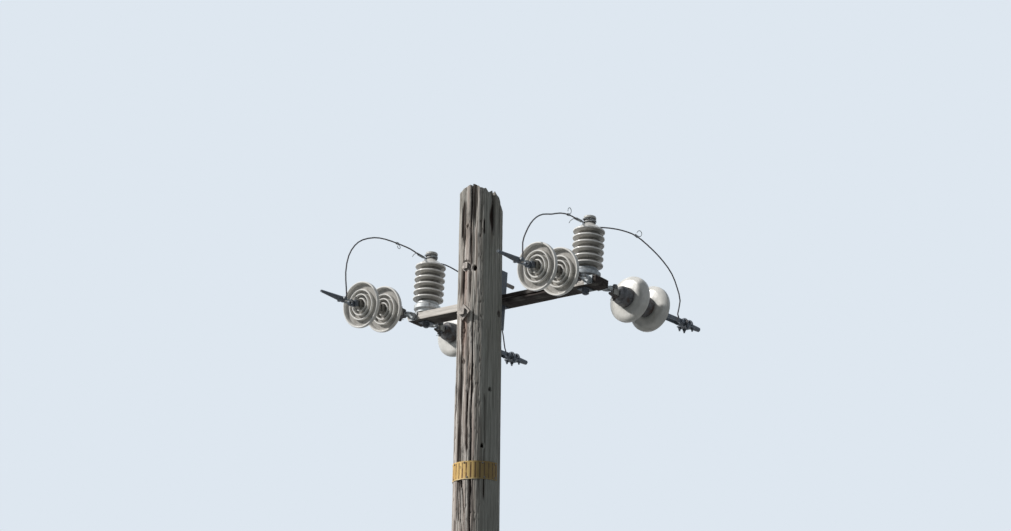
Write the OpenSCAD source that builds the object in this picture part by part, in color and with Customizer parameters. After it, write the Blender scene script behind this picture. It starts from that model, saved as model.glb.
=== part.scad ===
// Wooden utility pole with a short crossarm, two post insulators and four
// dead-end strings of two disc insulators each, joined in pairs by bare jumpers.
// Millimetres. The origin is the centre of the flat butt at ground level, +Z is
// up, +X runs along the crossarm and +Y runs along the line.

/* [Pole] */
// Height of the pole above ground
pole_h = 10360; // [9000:10:11500]
// Diameter at ground level
pole_butt_d = 275; // [250:1:320]
// Diameter at the top
pole_top_d = 186; // [176:1:200]
// Depth of the flat seat cut for the crossarm bracket
seat_depth = 33; // [28:1:38]
// Height of that flat seat
seat_h = 290; // [280:1:340]

/* [Crossarm] */
// Distance from the pole's top down to the crossarm's middle
arm_drop = 475; // [420:5:560]
// Length of the crossarm
arm_l = 1057; // [1050:1:1200]
// Width of the crossarm, laid flat
arm_w = 86; // [76:1:100]
// Thickness of the crossarm
arm_t = 38; // [34:1:44]
// How far the crossarm's middle stands off the pole's middle, along its length
arm_shift = 41.5; // [35:0.5:50]
// Angle by which the crossarm has turned about its length
arm_roll = 4.6; // [0:0.1:8]

/* [Bracket and bolts] */
// Width of the steel bracket
bracket_w = 100; // [92:1:120]
// Depth of the bracket's flanges
bracket_d = 50; // [44:1:60]
// Height of the bracket
bracket_h = 260; // [256:1:276]
// Thickness of the bracket's steel
bracket_t = 8; // [6:0.5:10]
// Spacing of the two through-bolts
bolt_gap = 204; // [196:1:208]
// Diameter of the bolts
bolt_d = 16; // [14:0.5:18]

/* [Strings] */
// Distance from the pole to each pair of strings, left then right
left_eye_x = 435; // [430:1:445]
right_eye_x = 530; // [520:1:540]
// Angle by which the strings droop below level
string_droop = 4.4; // [0:0.1:8]
// Diameter of the disc insulators
disc_d = 200; // [190:1:210]
// Spacing of the discs along a string
disc_gap = 140; // [138:1:150]

/* [Post insulators] */
// Distance of each post insulator inboard of its strings
left_post_in = 37; // [37:1:50]
right_post_in = 48; // [40:1:54]
// Height of a post insulator
post_h = 284; // [278:1:296]
// Diameter of its sheds
post_d = 134; // [128:1:138]
// Spacing of its sheds
shed_gap = 29.8; // [28:0.1:31]

/* [Wires] */
// Diameter of the jumper wires
wire_d = 6; // [5:0.5:6]

/* [Sign] */
// Distance from the crossarm's middle down to the middle of the sign band
sign_drop = 764; // [740:1:900]
// Height of the sign band
sign_h = 78; // [60:1:120]
// Thickness of the sign band
sign_t = 1.5; // [1:0.1:3]

/* [Hidden] */
butt_r = pole_butt_d / 2;
top_r = pole_top_d / 2;
function pole_r(z) = butt_r + (top_r - butt_r) * z / pole_h;
arm_z = pole_h - arm_drop;
seat_y = pole_r(arm_z) - seat_depth;
bolt_r = bolt_d / 2;
hole_play = 1;

// Parts of one link, measured along the string from the crossarm's face
eye_at = 36;
ring_r = 19;
ring_wire_r = 6.5;
shackle_r = 14;
shackle_wire_r = 5.5;
shackle_pin_at = 54;
pin_r = 6;
tongue_w = 24;
tongue_t = 26;
pin_play = 0.2;

// The clamp at the end of a string, measured from its own pin. A near clamp is a
// tapered tube hung on one long U-bolt, a far clamp is a bar with two short ones.
near_hinge_at = 30;
far_hinge_at = 24;
near_link_l = 54;
far_link_l = 144;
near_clamp_rise = 8;
far_clamp_rise = 2;
near_clamp_l = 128;
far_clamp_l = 144;
near_wire_in = 78;
far_wire_in = 88;
far_wire_y = 6;
clamp_r = 17;
clamp_mouth_r = 10;
clamp_top = 12;
wire_out = 20;
tube_r = 13;
tube_mouth_r = 5.5;
yoke_t = 12;
eye_r = 14;
eye_hole_r = 7;
eye_t = 12;
long_u_r = 17.5;
long_u_wire_r = 4;
u_bolt_at = [36, 70];
u_bolt_r = 21;
u_bolt_wire_r = 4;

timber = [0.62, 0.58, 0.54];
old_pole = [0.45, 0.42, 0.39];
zinc = [0.58, 0.60, 0.61];
dark_steel = [0.30, 0.30, 0.31];
porcelain = [0.80, 0.82, 0.83];
bare_wire = [0.40, 0.41, 0.42];
sign_yellow = [0.85, 0.68, 0.25];

function unit(v) = v / norm(v);

// The rounded corner at b of a profile that comes from a and goes on to c
function corner(a, b, c, r, steps) =
    let (
        u = unit(a - b), v = unit(c - b),
        half = acos(u * v) / 2,
        middle = b + unit(u + v) * r / sin(half),
        from = b + u * r / tan(half) - middle,
        to = b + v * r / tan(half) - middle,
        a0 = atan2(from[1], from[0]),
        turn = atan2(to[1], to[0]) - a0,
        sweep = turn > 180 ? turn - 360 : turn < -180 ? turn + 360 : turn
    )
    [for (i = [0:steps]) middle + r * [cos(a0 + sweep * i / steps), sin(a0 + sweep * i / steps)]];

// A profile from points given as radius, height and the rounding of that corner
function rounded(p) = [
    for (i = [0:len(p) - 1])
        let (
            b = [p[i][0], p[i][1]],
            before = p[(i + len(p) - 1) % len(p)],
            after = p[(i + 1) % len(p)]
        )
        each p[i][2] == 0 ? [b]
            : corner([before[0], before[1]], b, [after[0], after[1]], p[i][2],
                p[i][2] > 20 ? 8 : 4)
];

// Where things sit

// The flat seat on the pole's far side: y out of the wood, z up the seat
module on_seat() {
    translate([0, seat_y, arm_z]) rotate([-arm_roll, 0, 0]) children();
}

function seat_point(x, y, z) = [
    x,
    seat_y + y * cos(arm_roll) + z * sin(arm_roll),
    arm_z - y * sin(arm_roll) + z * cos(arm_roll),
];

arm_near = bracket_t;
arm_far = bracket_t + arm_w;
arm_mid = bracket_t + arm_w / 2;

function side_x(side) = side < 0 ? -left_eye_x : right_eye_x;
function post_x(side) = side < 0 ? -left_eye_x + left_post_in : right_eye_x - right_post_in;

// A string's frame: z outwards along the string, y up, from the eye's middle
function eye_y(way) = way < 0 ? arm_near - eye_at : arm_far + eye_at;

module on_eye(side, way) {
    translate(seat_point(side_x(side), eye_y(way), 0))
        rotate([-way * (90 + string_droop), 0, 0])
            rotate([0, 0, way < 0 ? 0 : 180])
                children();
}

module on_disc(side, way, index) {
    on_eye(side, way) translate([0, 0, shackle_pin_at + index * disc_gap]) children();
}

// The crossarm's face, z outwards
module on_arm_face(side, way) {
    on_seat()
        translate([side_x(side), way < 0 ? arm_near : arm_far, 0])
            rotate([-way * 90, 0, 0])
                rotate([0, 0, way < 0 ? 0 : 180])
                    children();
}

// The top of the crossarm under a post insulator
module on_post(side) {
    on_seat() translate([post_x(side), arm_mid, arm_t / 2]) children();
}

// Pole

view_angle = -49;

// A drying split: angle round the pole, top and bottom, width and depth
module split(angle, from_top, length, width, depth) {
    z = pole_h - from_top - length;
    lean = atan((butt_r - top_r) / pole_h);
    rotate([0, 0, angle])
        translate([pole_r(z), 0, z])
            rotate([0, -lean, 0])
                linear_extrude(height = length)
                    polygon([[-depth, 0], [3, -width / 2], [3, width / 2]]);
}

module old_hole(angle, from_top, diameter, depth) {
    z = pole_h - from_top;
    rotate([0, 0, angle])
        translate([pole_r(z) - depth, 0, z])
            rotate([0, 90, 0])
                cylinder(d = diameter, h = depth + 20, $fn = 32);
}

module bolt_path(z, y0, y1, r) {
    translate([0, y0, z]) rotate([-90, 0, 0]) cylinder(r = r, h = y1 - y0, $fn = 48);
}

shoulder_w = 40;
shoulder_drop = 90;
round_washer_r = 22;
washer_depth = 3;
washer_z = bolt_gap / 2;
near_face = -(seat_y + pole_r(arm_z) - washer_depth);

// Drying splits: angle from the shown side, top below the pole's top, length, width, depth
splits = [
    [-48, 190, 1320, 9, 26], [-27, -50, 380, 8, 20], [-60, 70, 190, 7, 14],
    [36, 62, 175, 14, 28], [9, 148, 90, 7, 14], [58, 50, 420, 7, 12],
    [-13, 870, 320, 8, 18], [-15, 1230, 2200, 9, 20], [-41, 1220, 110, 12, 18],
    [-36, 1500, 1900, 10, 22], [31, 2600, 2800, 11, 26], [110, 450, 2300, 11, 26],
    [159, 500, 1900, 13, 28], [-111, 700, 2400, 11, 24], [69, 1500, 3000, 13, 26],
    [-90, 3600, 3200, 12, 26], [5, 5200, 3600, 13, 28], [140, 4100, 3900, 12, 26],
    [-150, 5600, 3400, 12, 24], [80, 6400, 3100, 11, 24],
];

// Old bolt holes: angle from the shown side, distance below the top, diameter
old_holes = [[-38, 185, 12], [-14, 373, 21], [31, 895, 14], [12, 1137, 14]];

module pole() {
    color(old_pole) difference() {
        cylinder(r1 = butt_r, r2 = top_r, h = pole_h, $fn = 96);
        on_seat() translate([-200, 0, -seat_h / 2]) cube([400, 200, seat_h]);
        on_seat() for (z = [-washer_z, washer_z]) {
            bolt_path(z, near_face - 60, 10, bolt_r + hole_play);
            bolt_path(z, near_face - 60, near_face, z > 0 ? round_washer_r + 2 : washer_w * 0.72);
        }
        rotate([0, 0, view_angle + 90]) {
            // The worn shoulder and the broken top
            translate([top_r - shoulder_w, -200, pole_h])
                rotate([0, atan(shoulder_drop / shoulder_w), 0])
                    cube([200, 400, 120]);
            translate([-18, -200, pole_h - 10]) rotate([0, 4, 0]) cube([200, 400, 60]);
            translate([-33, -200, pole_h]) rotate([0, -15, 0]) translate([-100, 0, 0]) cube([100, 400, 60]);
            translate([38, -200, pole_h - 34]) rotate([0, -60, 0]) cube([60, 400, 12]);
        }
        for (s = splits) split(view_angle + s[0], s[1], s[2], s[3], s[4]);
        for (h = old_holes) old_hole(view_angle + h[0], h[1], h[2], 30);
    }
}

// Crossarm

arm_left = arm_shift - arm_l / 2;
arm_ease = 4;
end_slant = 62;

module crossarm() {
    color(timber) on_seat() difference() {
        translate([arm_left, arm_mid, 0])
            rotate([90, 0, 90])
                linear_extrude(height = arm_l)
                    polygon([for (s = [[1, 1], [-1, 1], [-1, -1], [1, -1]], k = [0, 1])
                        [
                            s[0] * (arm_w / 2 - (k == (s[0] * s[1] > 0 ? 0 : 1) ? 0 : arm_ease)),
                            s[1] * (arm_t / 2 - (k == (s[0] * s[1] > 0 ? 0 : 1) ? arm_ease : 0))
                        ]]);
        // The left end is cut at a slant
        translate([arm_left, arm_near - 1, arm_t / 2])
            rotate([0, 90 + end_slant, 0])
                cube([60, arm_w + 2, 40]);
        for (side = [-1, 1]) {
            translate([side_x(side), arm_near - 1, 0])
                rotate([-90, 0, 0])
                    cylinder(r = bolt_r + hole_play, h = arm_w + 2, $fn = 48);
            translate([post_x(side), arm_mid, -arm_t])
                cylinder(r = stud_r + hole_play, h = 2 * arm_t, $fn = 48);
        }
        translate([0, arm_mid, -arm_t]) cylinder(r = small_r + hole_play, h = 2 * arm_t, $fn = 32);
    }
}

shelf_d = bracket_d + 24;
shelf_t = 6;
small_r = 6;

module crossarm_bracket() {
    color(zinc) on_seat() difference() {
        union() {
            translate([-bracket_w / 2, 0, -bracket_h / 2]) cube([bracket_w, bracket_t, bracket_h]);
            for (x = [-bracket_w / 2, bracket_w / 2 - bracket_t], s = [-1, 1])
                translate([x, 0, s < 0 ? -bracket_h / 2 : arm_t / 2])
                    cube([bracket_t, bracket_d, bracket_h / 2 - arm_t / 2]);
            for (s = [-1, 1])
                translate([-bracket_w / 2, 0, s < 0 ? -arm_t / 2 - shelf_t : arm_t / 2])
                    cube([bracket_w, shelf_d, shelf_t]);
        }
        for (z = [-washer_z, washer_z]) bolt_path(z, -1, bracket_t + 1, bolt_r + hole_play);
        translate([0, arm_mid, -arm_t]) cylinder(r = small_r + hole_play, h = 2 * arm_t, $fn = 32);
    }
}

module crossarm_bolt() {
    top = arm_t / 2 + shelf_t;
    color(zinc) on_seat() translate([0, arm_mid, 0]) {
        translate([0, 0, -top - 26]) cylinder(r = small_r, h = 2 * top + 34, $fn = 32);
        translate([0, 0, top]) cylinder(r = 10, h = 8, $fn = 6);
        translate([0, 0, -top - 10]) cylinder(r = 10, h = 10, $fn = 6);
    }
}

// Through-bolts

washer_w = 50;
washer_t = 5;
nut_r = 14;
nut_t = 14;

module through_bolt(z, far_end) {
    color(zinc) on_seat() translate([0, 0, z]) {
        translate([0, near_face - washer_t - 10, 0])
            rotate([-90, 0, 0])
                cylinder(r = bolt_r, h = far_end - near_face + washer_t + 10, $fn = 48);
        // A round washer under the upper head, a square one set cornerwise under the lower
        translate([0, near_face - washer_t, 0])
            rotate([-90, 0, 0])
                if (z > 0) cylinder(r = round_washer_r, h = washer_t, $fn = 48);
                else rotate([0, 0, 45])
                    translate([-washer_w / 2, -washer_w / 2, 0])
                        cube([washer_w, washer_w, washer_t]);
        translate([-13, near_face - washer_t - 11, -13]) cube([26, 11, 26]);
        translate([-22, bracket_t, -22]) cube([44, washer_t, 44]);
        translate([0, bracket_t + washer_t, 0])
            rotate([-90, 0, 0])
                cylinder(r = nut_r, h = nut_t, $fn = 6);
    }
}

module upper_through_bolt() { through_bolt(washer_z, 148); }
module lower_through_bolt() { through_bolt(-washer_z, 62); }

// Post insulators

stud_r = 9.5;
base_h = 50;
base_r = 59;
foot_r = 47;
foot_h = 12;
stud_below = 24;
core_r = post_d / 2 - 27;
neck_r = 22;
first_shed = 65;
neck_at = post_h - 24;

module post_base(side) {
    color(zinc) on_post(side) rotate_extrude($fn = 96)
        polygon(rounded([
            [0, 0, 0], [foot_r, 0, 1.5], [foot_r, foot_h, 3],
            [base_r, foot_h + 3, 3], [base_r, base_h - 18, 6],
            [core_r + 8, base_h - 9, 6], [core_r + 6, base_h, 2], [0, base_h, 0],
        ]));
}

shed_r = post_d / 2;

// One shed: nearly flat underneath, a round rim, a sloping top
function shed_points(z) = [
    [core_r, z - 9, 4], [shed_r - 8, z - 3, 3], [shed_r, z - 3, 2.6],
    [shed_r, z + 4, 3.4], [core_r, z + 14, 5],
];

top_shed = first_shed + 5 * shed_gap;

module post_porcelain(side) {
    color(porcelain) on_post(side) rotate_extrude($fn = 96) polygon(rounded(concat(
        [[0, base_h, 0], [core_r, base_h, 0]],
        [for (i = [0:4]) each shed_points(first_shed + i * shed_gap)],
        [
            [core_r, top_shed - 9, 4], [shed_r - 8, top_shed - 3, 3], [shed_r, top_shed - 3, 2.6],
            [shed_r, top_shed + 4, 3.4], [neck_r + 3, neck_at - 12, 12],
            [neck_r, neck_at - 8, 3], [neck_r, neck_at + 9, 3],
            [neck_r + 5, neck_at + 12, 2], [neck_r + 5, post_h, 7], [0, post_h, 0],
        ])));
}

module post_stud(side) {
    below = -arm_t;
    color(zinc) on_post(side) {
        translate([0, 0, below - stud_below]) cylinder(r = stud_r, h = arm_t + stud_below, $fn = 48);
        translate([-25, -25, below - washer_t]) cube([50, 50, washer_t]);
        translate([0, 0, below - washer_t - 15]) cylinder(r = 16, h = 15, $fn = 6);
    }
}

module left_post_base() { post_base(-1); }
module right_post_base() { post_base(1); }
module left_post_porcelain() { post_porcelain(-1); }
module right_post_porcelain() { post_porcelain(1); }
module left_post_stud() { post_stud(-1); }
module right_post_stud() { post_stud(1); }

// Eye rods and eye nuts

collar_r = 16;
collar_top = 22;
rod_in = 20;

module eye_rod(side) {
    color(zinc) on_seat()
        translate([side_x(side), arm_near - rod_in, 0])
            rotate([-90, 0, 0])
                cylinder(r = bolt_r, h = arm_w + 2 * rod_in, $fn = 48);
}

module eye_nut(side, way) {
    color(dark_steel) on_arm_face(side, way) difference() {
        union() {
            translate([-20, -18, 0]) cube([40, 36, 4]);
            cylinder(r = collar_r, h = collar_top, $fn = 48);
            translate([0, 0, eye_at])
                rotate([90, 0, 0])
                    rotate_extrude($fn = 64)
                        translate([ring_r, 0])
                            circle(r = ring_wire_r, $fn = 32);
        }
        translate([0, 0, -1]) cylinder(r = bolt_r, h = rod_in + 1, $fn = 48);
        translate([0, 40, eye_at])
            rotate([90, 0, 0])
                cylinder(r = ring_r - ring_wire_r, h = 80, $fn = 64);
    }
}

module left_eye_rod() { eye_rod(-1); }
module right_eye_rod() { eye_rod(1); }
module near_left_eye_nut() { eye_nut(-1, -1); }
module near_right_eye_nut() { eye_nut(1, -1); }
module far_left_eye_nut() { eye_nut(-1, 1); }
module far_right_eye_nut() { eye_nut(1, 1); }

// Shackles

bow_at = ring_r - ring_wire_r - shackle_wire_r + shackle_r;
leg_y = tongue_t / 2 + 8;

module rod_between(a, b, r) {
    d = b - a;
    length = norm(d);
    translate(a)
        rotate([0, acos(d[2] / length), atan2(d[1], d[0])])
            cylinder(r = r, h = length, $fn = 32);
}

module shackle(side, way) {
    color(dark_steel) on_eye(side, way) {
        translate([0, 0, bow_at])
            rotate([0, 90, 0])
                rotate([0, 0, 90])
                    rotate_extrude(angle = 180, $fn = 64)
                        translate([shackle_r, 0])
                            circle(r = shackle_wire_r, $fn = 32);
        for (s = [-1, 1]) {
            translate([0, s * shackle_r, bow_at]) sphere(r = shackle_wire_r, $fn = 32);
            rod_between([0, s * shackle_r, bow_at], [0, s * leg_y, shackle_pin_at], shackle_wire_r);
            translate([0, s < 0 ? -leg_y - 6 : leg_y - 6, shackle_pin_at])
                rotate([-90, 0, 0])
                    cylinder(r = 12, h = 12, $fn = 48);
        }
        translate([0, -leg_y - 16, shackle_pin_at])
            rotate([-90, 0, 0])
                cylinder(r = pin_r, h = 2 * leg_y + 28, $fn = 32);
        translate([0, leg_y + 6, shackle_pin_at])
            rotate([-90, 0, 0])
                cylinder(r = 9, h = 6, $fn = 32);
    }
}

module near_left_shackle() { shackle(-1, -1); }
module near_right_shackle() { shackle(1, -1); }
module far_left_shackle() { shackle(-1, 1); }
module far_right_shackle() { shackle(1, 1); }

// Disc insulators

rim_r = disc_d / 2;
head_r = 32;
cap_r = 43;
cap_end = 78;
stem_r = 10;
stem_in = 56;

// The part of the porcelain that sits inside the cap
head_points = [[0, 42, 0], [head_r, 42, 8], [head_r, cap_end, 0]];

// One petticoat under the shell, from its outer wall to its inner one
function rib(r, tip, base) = [
    [r + 4.5, base, 3], [r + 2.6, tip, 2.4], [r - 2.6, tip, 2.4], [r - 4.5, base - 1.5, 3],
];

// Half section of a porcelain shell: head, top, deep rim, then the petticoats
shell_points = concat(head_points, [
    [head_r, cap_end + 2, 0], [cap_r + 2, cap_end + 2, 2], [rim_r * 0.86, 84, 34],
    [rim_r, 98, 8], [rim_r, 113, 2.6], [rim_r - 6, 113, 2.6], [rim_r - 12, 97, 6],
], rib(rim_r * 0.64, 112, 97), rib(rim_r * 0.445, 114, 96), rib(rim_r * 0.265, 112, 94), [
    [stem_r + 4, 93, 3], [stem_r, 96, 0], [stem_r, stem_in, 0], [0, stem_in, 0],
]);

module discs(side, way) {
    color(porcelain) for (i = [0, 1])
        on_disc(side, way, i) rotate_extrude($fn = 96) polygon(rounded(shell_points));
}

// A tongue with a hole for the pin, lying level, its hole at the origin
module tongue(length) {
    difference() {
        union() {
            rotate([-90, 0, 0])
                translate([0, 0, -tongue_t / 2])
                    cylinder(d = tongue_w, h = tongue_t, $fn = 48);
            translate([-tongue_w / 2, -tongue_t / 2, 0]) cube([tongue_w, tongue_t, length]);
        }
        rotate([-90, 0, 0])
            translate([0, 0, -tongue_t])
                cylinder(r = pin_r + pin_play, h = 2 * tongue_t, $fn = 32);
    }
}

fork_gap = tongue_t / 2 + 0.5;
fork_y = fork_gap + 8;

// A fork with its pin, the pin's middle at the origin, its base below
module fork() {
    for (s = [-1, 1]) {
        translate([0, s < 0 ? -fork_y : fork_gap, 0])
            rotate([-90, 0, 0])
                cylinder(d = tongue_w, h = fork_y - fork_gap, $fn = 48);
        translate([-tongue_w / 2, s < 0 ? -fork_y : fork_gap, -20])
            cube([tongue_w, fork_y - fork_gap, 20]);
    }
    translate([-tongue_w / 2, -fork_y, -26]) cube([tongue_w, 2 * fork_y, 11]);
    translate([0, -fork_y - 8, 0])
        rotate([-90, 0, 0])
            cylinder(r = pin_r, h = 2 * fork_y + 16, $fn = 32);
    translate([0, fork_y, 0]) rotate([-90, 0, 0]) cylinder(r = 9, h = 4, $fn = 32);
}

module fittings(side, way, index) {
    color(dark_steel) on_disc(side, way, index) {
        tongue(24);
        rotate_extrude($fn = 96) polygon(rounded([
            [0, 18, 0], [18, 18, 4], [24, 30, 8], [cap_r - 4, 36, 10],
            [cap_r - 1, 62, 3], [cap_r, 66, 2], [cap_r, cap_end, 1.5],
            [head_r, cap_end, 0], [head_r, 42, 8], [0, 42, 0],
        ]));
        translate([0, 0, stem_in]) cylinder(r = stem_r, h = disc_gap - 20 - stem_in, $fn = 48);
        translate([0, 0, disc_gap]) fork();
    }
}

module near_left_discs() { discs(-1, -1); }
module near_right_discs() { discs(1, -1); }
module far_left_discs() { discs(-1, 1); }
module far_right_discs() { discs(1, 1); }
module near_left_inner_fittings() { fittings(-1, -1, 0); }
module near_right_inner_fittings() { fittings(1, -1, 0); }
module far_left_inner_fittings() { fittings(-1, 1, 0); }
module far_right_inner_fittings() { fittings(1, 1, 0); }
module near_left_outer_fittings() { fittings(-1, -1, 1); }
module near_right_outer_fittings() { fittings(1, -1, 1); }
module far_left_outer_fittings() { fittings(-1, 1, 1); }
module far_right_outer_fittings() { fittings(1, 1, 1); }

// Clamps

wire_r = wire_d / 2;
bore_r = wire_r + 0.1;
mouth_r = bore_r + 0.2;

function hinge_at(way) = way < 0 ? near_hinge_at : far_hinge_at;
function link_l(way) = way < 0 ? near_link_l : far_link_l;
function clamp_rise(way) = way < 0 ? near_clamp_rise : far_clamp_rise;
function clamp_l(way) = way < 0 ? near_clamp_l : far_clamp_l;
function wire_in(way) = way < 0 ? near_wire_in : far_wire_in;
function wire_y(way) = way < 0 ? 0 : far_wire_y;

// The clamp's body turns about its hinge: z outwards from the link's end
module on_clamp(side, way) {
    on_disc(side, way, 2)
        translate([0, 0, hinge_at(way)])
            rotate([-clamp_rise(way), 0, 0])
                translate([0, 0, link_l(way)])
                    children();
}

// The wire's hole: it grips the jumper inside and takes the line wire at the mouth
module wire_bore(way) {
    translate([0, wire_y(way), -20]) cylinder(r = bore_r, h = wire_in(way) + 20, $fn = 32);
    translate([0, wire_y(way), wire_in(way)])
        cylinder(r = mouth_r, h = clamp_l(way) - wire_in(way) + 1, $fn = 32);
}

// A tongue in the last fork, drawn out to an eye
module end_eye(side) {
    on_disc(side, -1, 2) difference() {
        union() {
            tongue(14);
            translate([-eye_t / 2, -10, 10]) cube([eye_t, 20, near_hinge_at - 10]);
            translate([-eye_t / 2, 0, near_hinge_at])
                rotate([0, 90, 0])
                    cylinder(r = eye_r, h = eye_t, $fn = 64);
        }
        translate([-eye_t, 0, near_hinge_at])
            rotate([0, 90, 0])
                cylinder(r = eye_hole_r, h = 2 * eye_t, $fn = 48);
    }
}

module tube_clamp(side) {
    leg_x = long_u_r + long_u_wire_r + 2;
    color(zinc) {
        end_eye(side);
        on_clamp(side, -1) difference() {
            union() {
                translate([0, 0, -yoke_t / 2])
                    cylinder(r1 = tube_r, r2 = tube_mouth_r, h = near_clamp_l + yoke_t / 2, $fn = 64);
                translate([-leg_x, -7, -yoke_t / 2]) cube([2 * leg_x, 14, yoke_t]);
            }
            wire_bore(-1);
            for (s = [-1, 1])
                translate([s * long_u_r, 0, -yoke_t])
                    cylinder(r = long_u_wire_r + 0.2, h = 2 * yoke_t, $fn = 32);
        }
    }
}

// The U's inside rests in the eye: its bow stands this far from the clamp's end
long_u_at = -near_link_l + eye_hole_r - 0.1
    + sqrt(pow(long_u_r, 2) - pow(eye_t / 2, 2))
    - long_u_wire_r / cos(asin(eye_t / 2 / long_u_r));

module long_u_bolt(side) {
    color(zinc) on_clamp(side, -1) {
        translate([0, 0, long_u_at])
            rotate([-90, 0, 0])
                rotate_extrude(angle = 180, $fn = 64)
                    translate([long_u_r, 0])
                        circle(r = long_u_wire_r, $fn = 32);
        for (s = [-1, 1]) {
            translate([s * long_u_r, 0, long_u_at])
                cylinder(r = long_u_wire_r, h = yoke_t / 2 + 3 - long_u_at, $fn = 32);
            translate([s * long_u_r, 0, yoke_t / 2])
                cylinder(r = long_u_wire_r + 0.8, h = 3, $fn = 32);
        }
    }
}

// A tongue in the last fork, with the barrel that the link bars turn on
module end_barrel(side) {
    on_disc(side, 1, 2) {
        tongue(far_hinge_at);
        translate([0, 0, far_hinge_at])
            rotate([0, 90, 0])
                translate([0, 0, -tongue_w / 2])
                    cylinder(d = tongue_t, h = tongue_w, $fn = 48);
    }
}

module bar_clamp(side) {
    l = far_link_l;
    color(zinc) {
        end_barrel(side);
        on_clamp(side, 1) difference() {
            union() {
                for (x = [-tongue_w / 2 - 5, tongue_w / 2])
                    translate([x, -9, -l]) cube([5, 18, l]);
                for (x = [-tongue_w / 2 - 5, tongue_w / 2], z = [-l, 0])
                    translate([x, 0, z]) rotate([0, 90, 0]) cylinder(r = 9, h = 5, $fn = 48);
                for (z = [-l, 0])
                    translate([-22, 0, z]) rotate([0, 90, 0]) cylinder(r = 7, h = 44, $fn = 6);
                translate([0, 0, -8])
                    cylinder(r1 = clamp_r, r2 = clamp_mouth_r, h = far_clamp_l + 8, $fn = 64);
                translate([-28, -15, u_bolt_at[0] - 11])
                    cube([56, 6, u_bolt_at[1] - u_bolt_at[0] + 22]);
            }
            translate([-40, clamp_top, -20]) cube([80, 40, far_wire_in + 18]);
            wire_bore(1);
            translate([0, far_wire_y, -20]) cylinder(r = bore_r + 2, h = 52, $fn = 32);
            translate([-bore_r - 2, far_wire_y, -20]) cube([2 * bore_r + 4, 40, 42]);
            for (z = u_bolt_at, s = [-1, 1])
                translate([s * u_bolt_r, -40, z])
                    rotate([-90, 0, 0])
                        cylinder(r = u_bolt_wire_r + 0.3, h = 60, $fn = 32);
        }
    }
}

module short_u_bolts(side) {
    color(zinc) on_clamp(side, 1) for (z = u_bolt_at) translate([0, 0, z]) {
        rotate_extrude(angle = 180, $fn = 64)
            translate([u_bolt_r, 0])
                circle(r = u_bolt_wire_r, $fn = 32);
        for (s = [-1, 1]) {
            translate([s * u_bolt_r, -30, 0])
                rotate([-90, 0, 0])
                    cylinder(r = u_bolt_wire_r, h = 30, $fn = 32);
            translate([s * u_bolt_r, -22, 0])
                rotate([-90, 0, 0])
                    cylinder(r = 7.5, h = 7, $fn = 6);
        }
        translate([-9, clamp_top, -10]) cube([18, u_bolt_r - clamp_top - 2, 20]);
    }
}

module near_left_clamp() { tube_clamp(-1); }
module near_right_clamp() { tube_clamp(1); }
module far_left_clamp() { bar_clamp(-1); }
module far_right_clamp() { bar_clamp(1); }
module near_left_u_bolts() { long_u_bolt(-1); }
module near_right_u_bolts() { long_u_bolt(1); }
module far_left_u_bolts() { short_u_bolts(-1); }
module far_right_u_bolts() { short_u_bolts(1); }

// Jumper wires

function eye_point(side, way) = seat_point(side_x(side), eye_y(way), 0);

// A point of a clamp: distance z along its body and height y above its middle
function clamp_point(side, way, y, z) =
    let (
        along = shackle_pin_at + 2 * disc_gap + hinge_at(way),
        turn = clamp_rise(way) - string_droop,
        reach = link_l(way) + z
    )
    eye_point(side, way)
        + along * [0, way * cos(string_droop), -sin(string_droop)]
        + reach * [0, way * cos(turn), sin(turn)]
        + y * [0, -way * sin(turn), cos(turn)];

// The wire at the neck of a post insulator, y along the crossarm's width
function neck_point(side, y) =
    seat_point(post_x(side) - neck_r - wire_r - 0.4, arm_mid + y, arm_t / 2 + neck_at);

function in_clamp(side, way) =
    let (stops = way < 0 ? [near_wire_in, 52, 24, -8] : [far_wire_in, 62, 42, wire_out])
    [for (z = stops) clamp_point(side, way, wire_y(way), z)];

function out_of_clamp(side, way) = way < 0
    ? [clamp_point(side, way, 5, -19), clamp_point(side, way, 26, -25)]
    : [clamp_point(side, way, 12, 3), clamp_point(side, way, 32, -8)];

function at_neck(side) = [for (y = [-26, 0, 26]) neck_point(side, y)];

function reversed(list) = [for (i = [len(list) - 1:-1:0]) list[i]];

// Free spans of each jumper: y along the line and height above the crossarm
left_near_span = [[-366, 100], [-351, 176], [-317, 229], [-271, 265], [-200, 292],
    [-133, 301], [-54, 300], [27, 294], [76, 282]];
left_far_span = [[200, 272], [260, 276], [335, 268], [440, 246], [540, 204],
    [620, 140], [664, 70]];
right_near_span = [[-352, 60], [-330, 106], [-293, 156], [-249, 194], [-197, 221],
    [-130, 240], [-60, 264], [8, 276], [66, 276]];
right_far_span = [[200, 271], [280, 284], [360, 290], [441, 283], [530, 246],
    [600, 205], [652, 160], [684, 105], [702, 50]];

// The span leans from the neck's side to the clamp's
function span_points(side, span, y_neck, y_clamp) = [
    for (p = span)
        let (t = (p[0] - y_neck) / (y_clamp - y_neck), x0 = neck_point(side, 0)[0])
        [x0 + (side_x(side) - x0) * t, p[0], arm_z + p[1]]
];

function route(side, near_span, far_span) = concat(
    in_clamp(side, -1), out_of_clamp(side, -1),
    span_points(side, near_span, 106, clamp_point(side, -1, 36, 0)[1]),
    at_neck(side),
    span_points(side, far_span, 160, clamp_point(side, 1, 36, 0)[1]),
    reversed(out_of_clamp(side, 1)), reversed(in_clamp(side, 1))
);

function blend(p, i, t) =
    let (
        a = p[max(i - 1, 0)], b = p[i], c = p[i + 1], d = p[min(i + 2, len(p) - 1)]
    )
    0.5 * (2 * b + (c - a) * t + (2 * a - 5 * b + 4 * c - d) * t * t
        + (3 * b - a - 3 * c + d) * t * t * t);

ring_step = 32;

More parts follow.
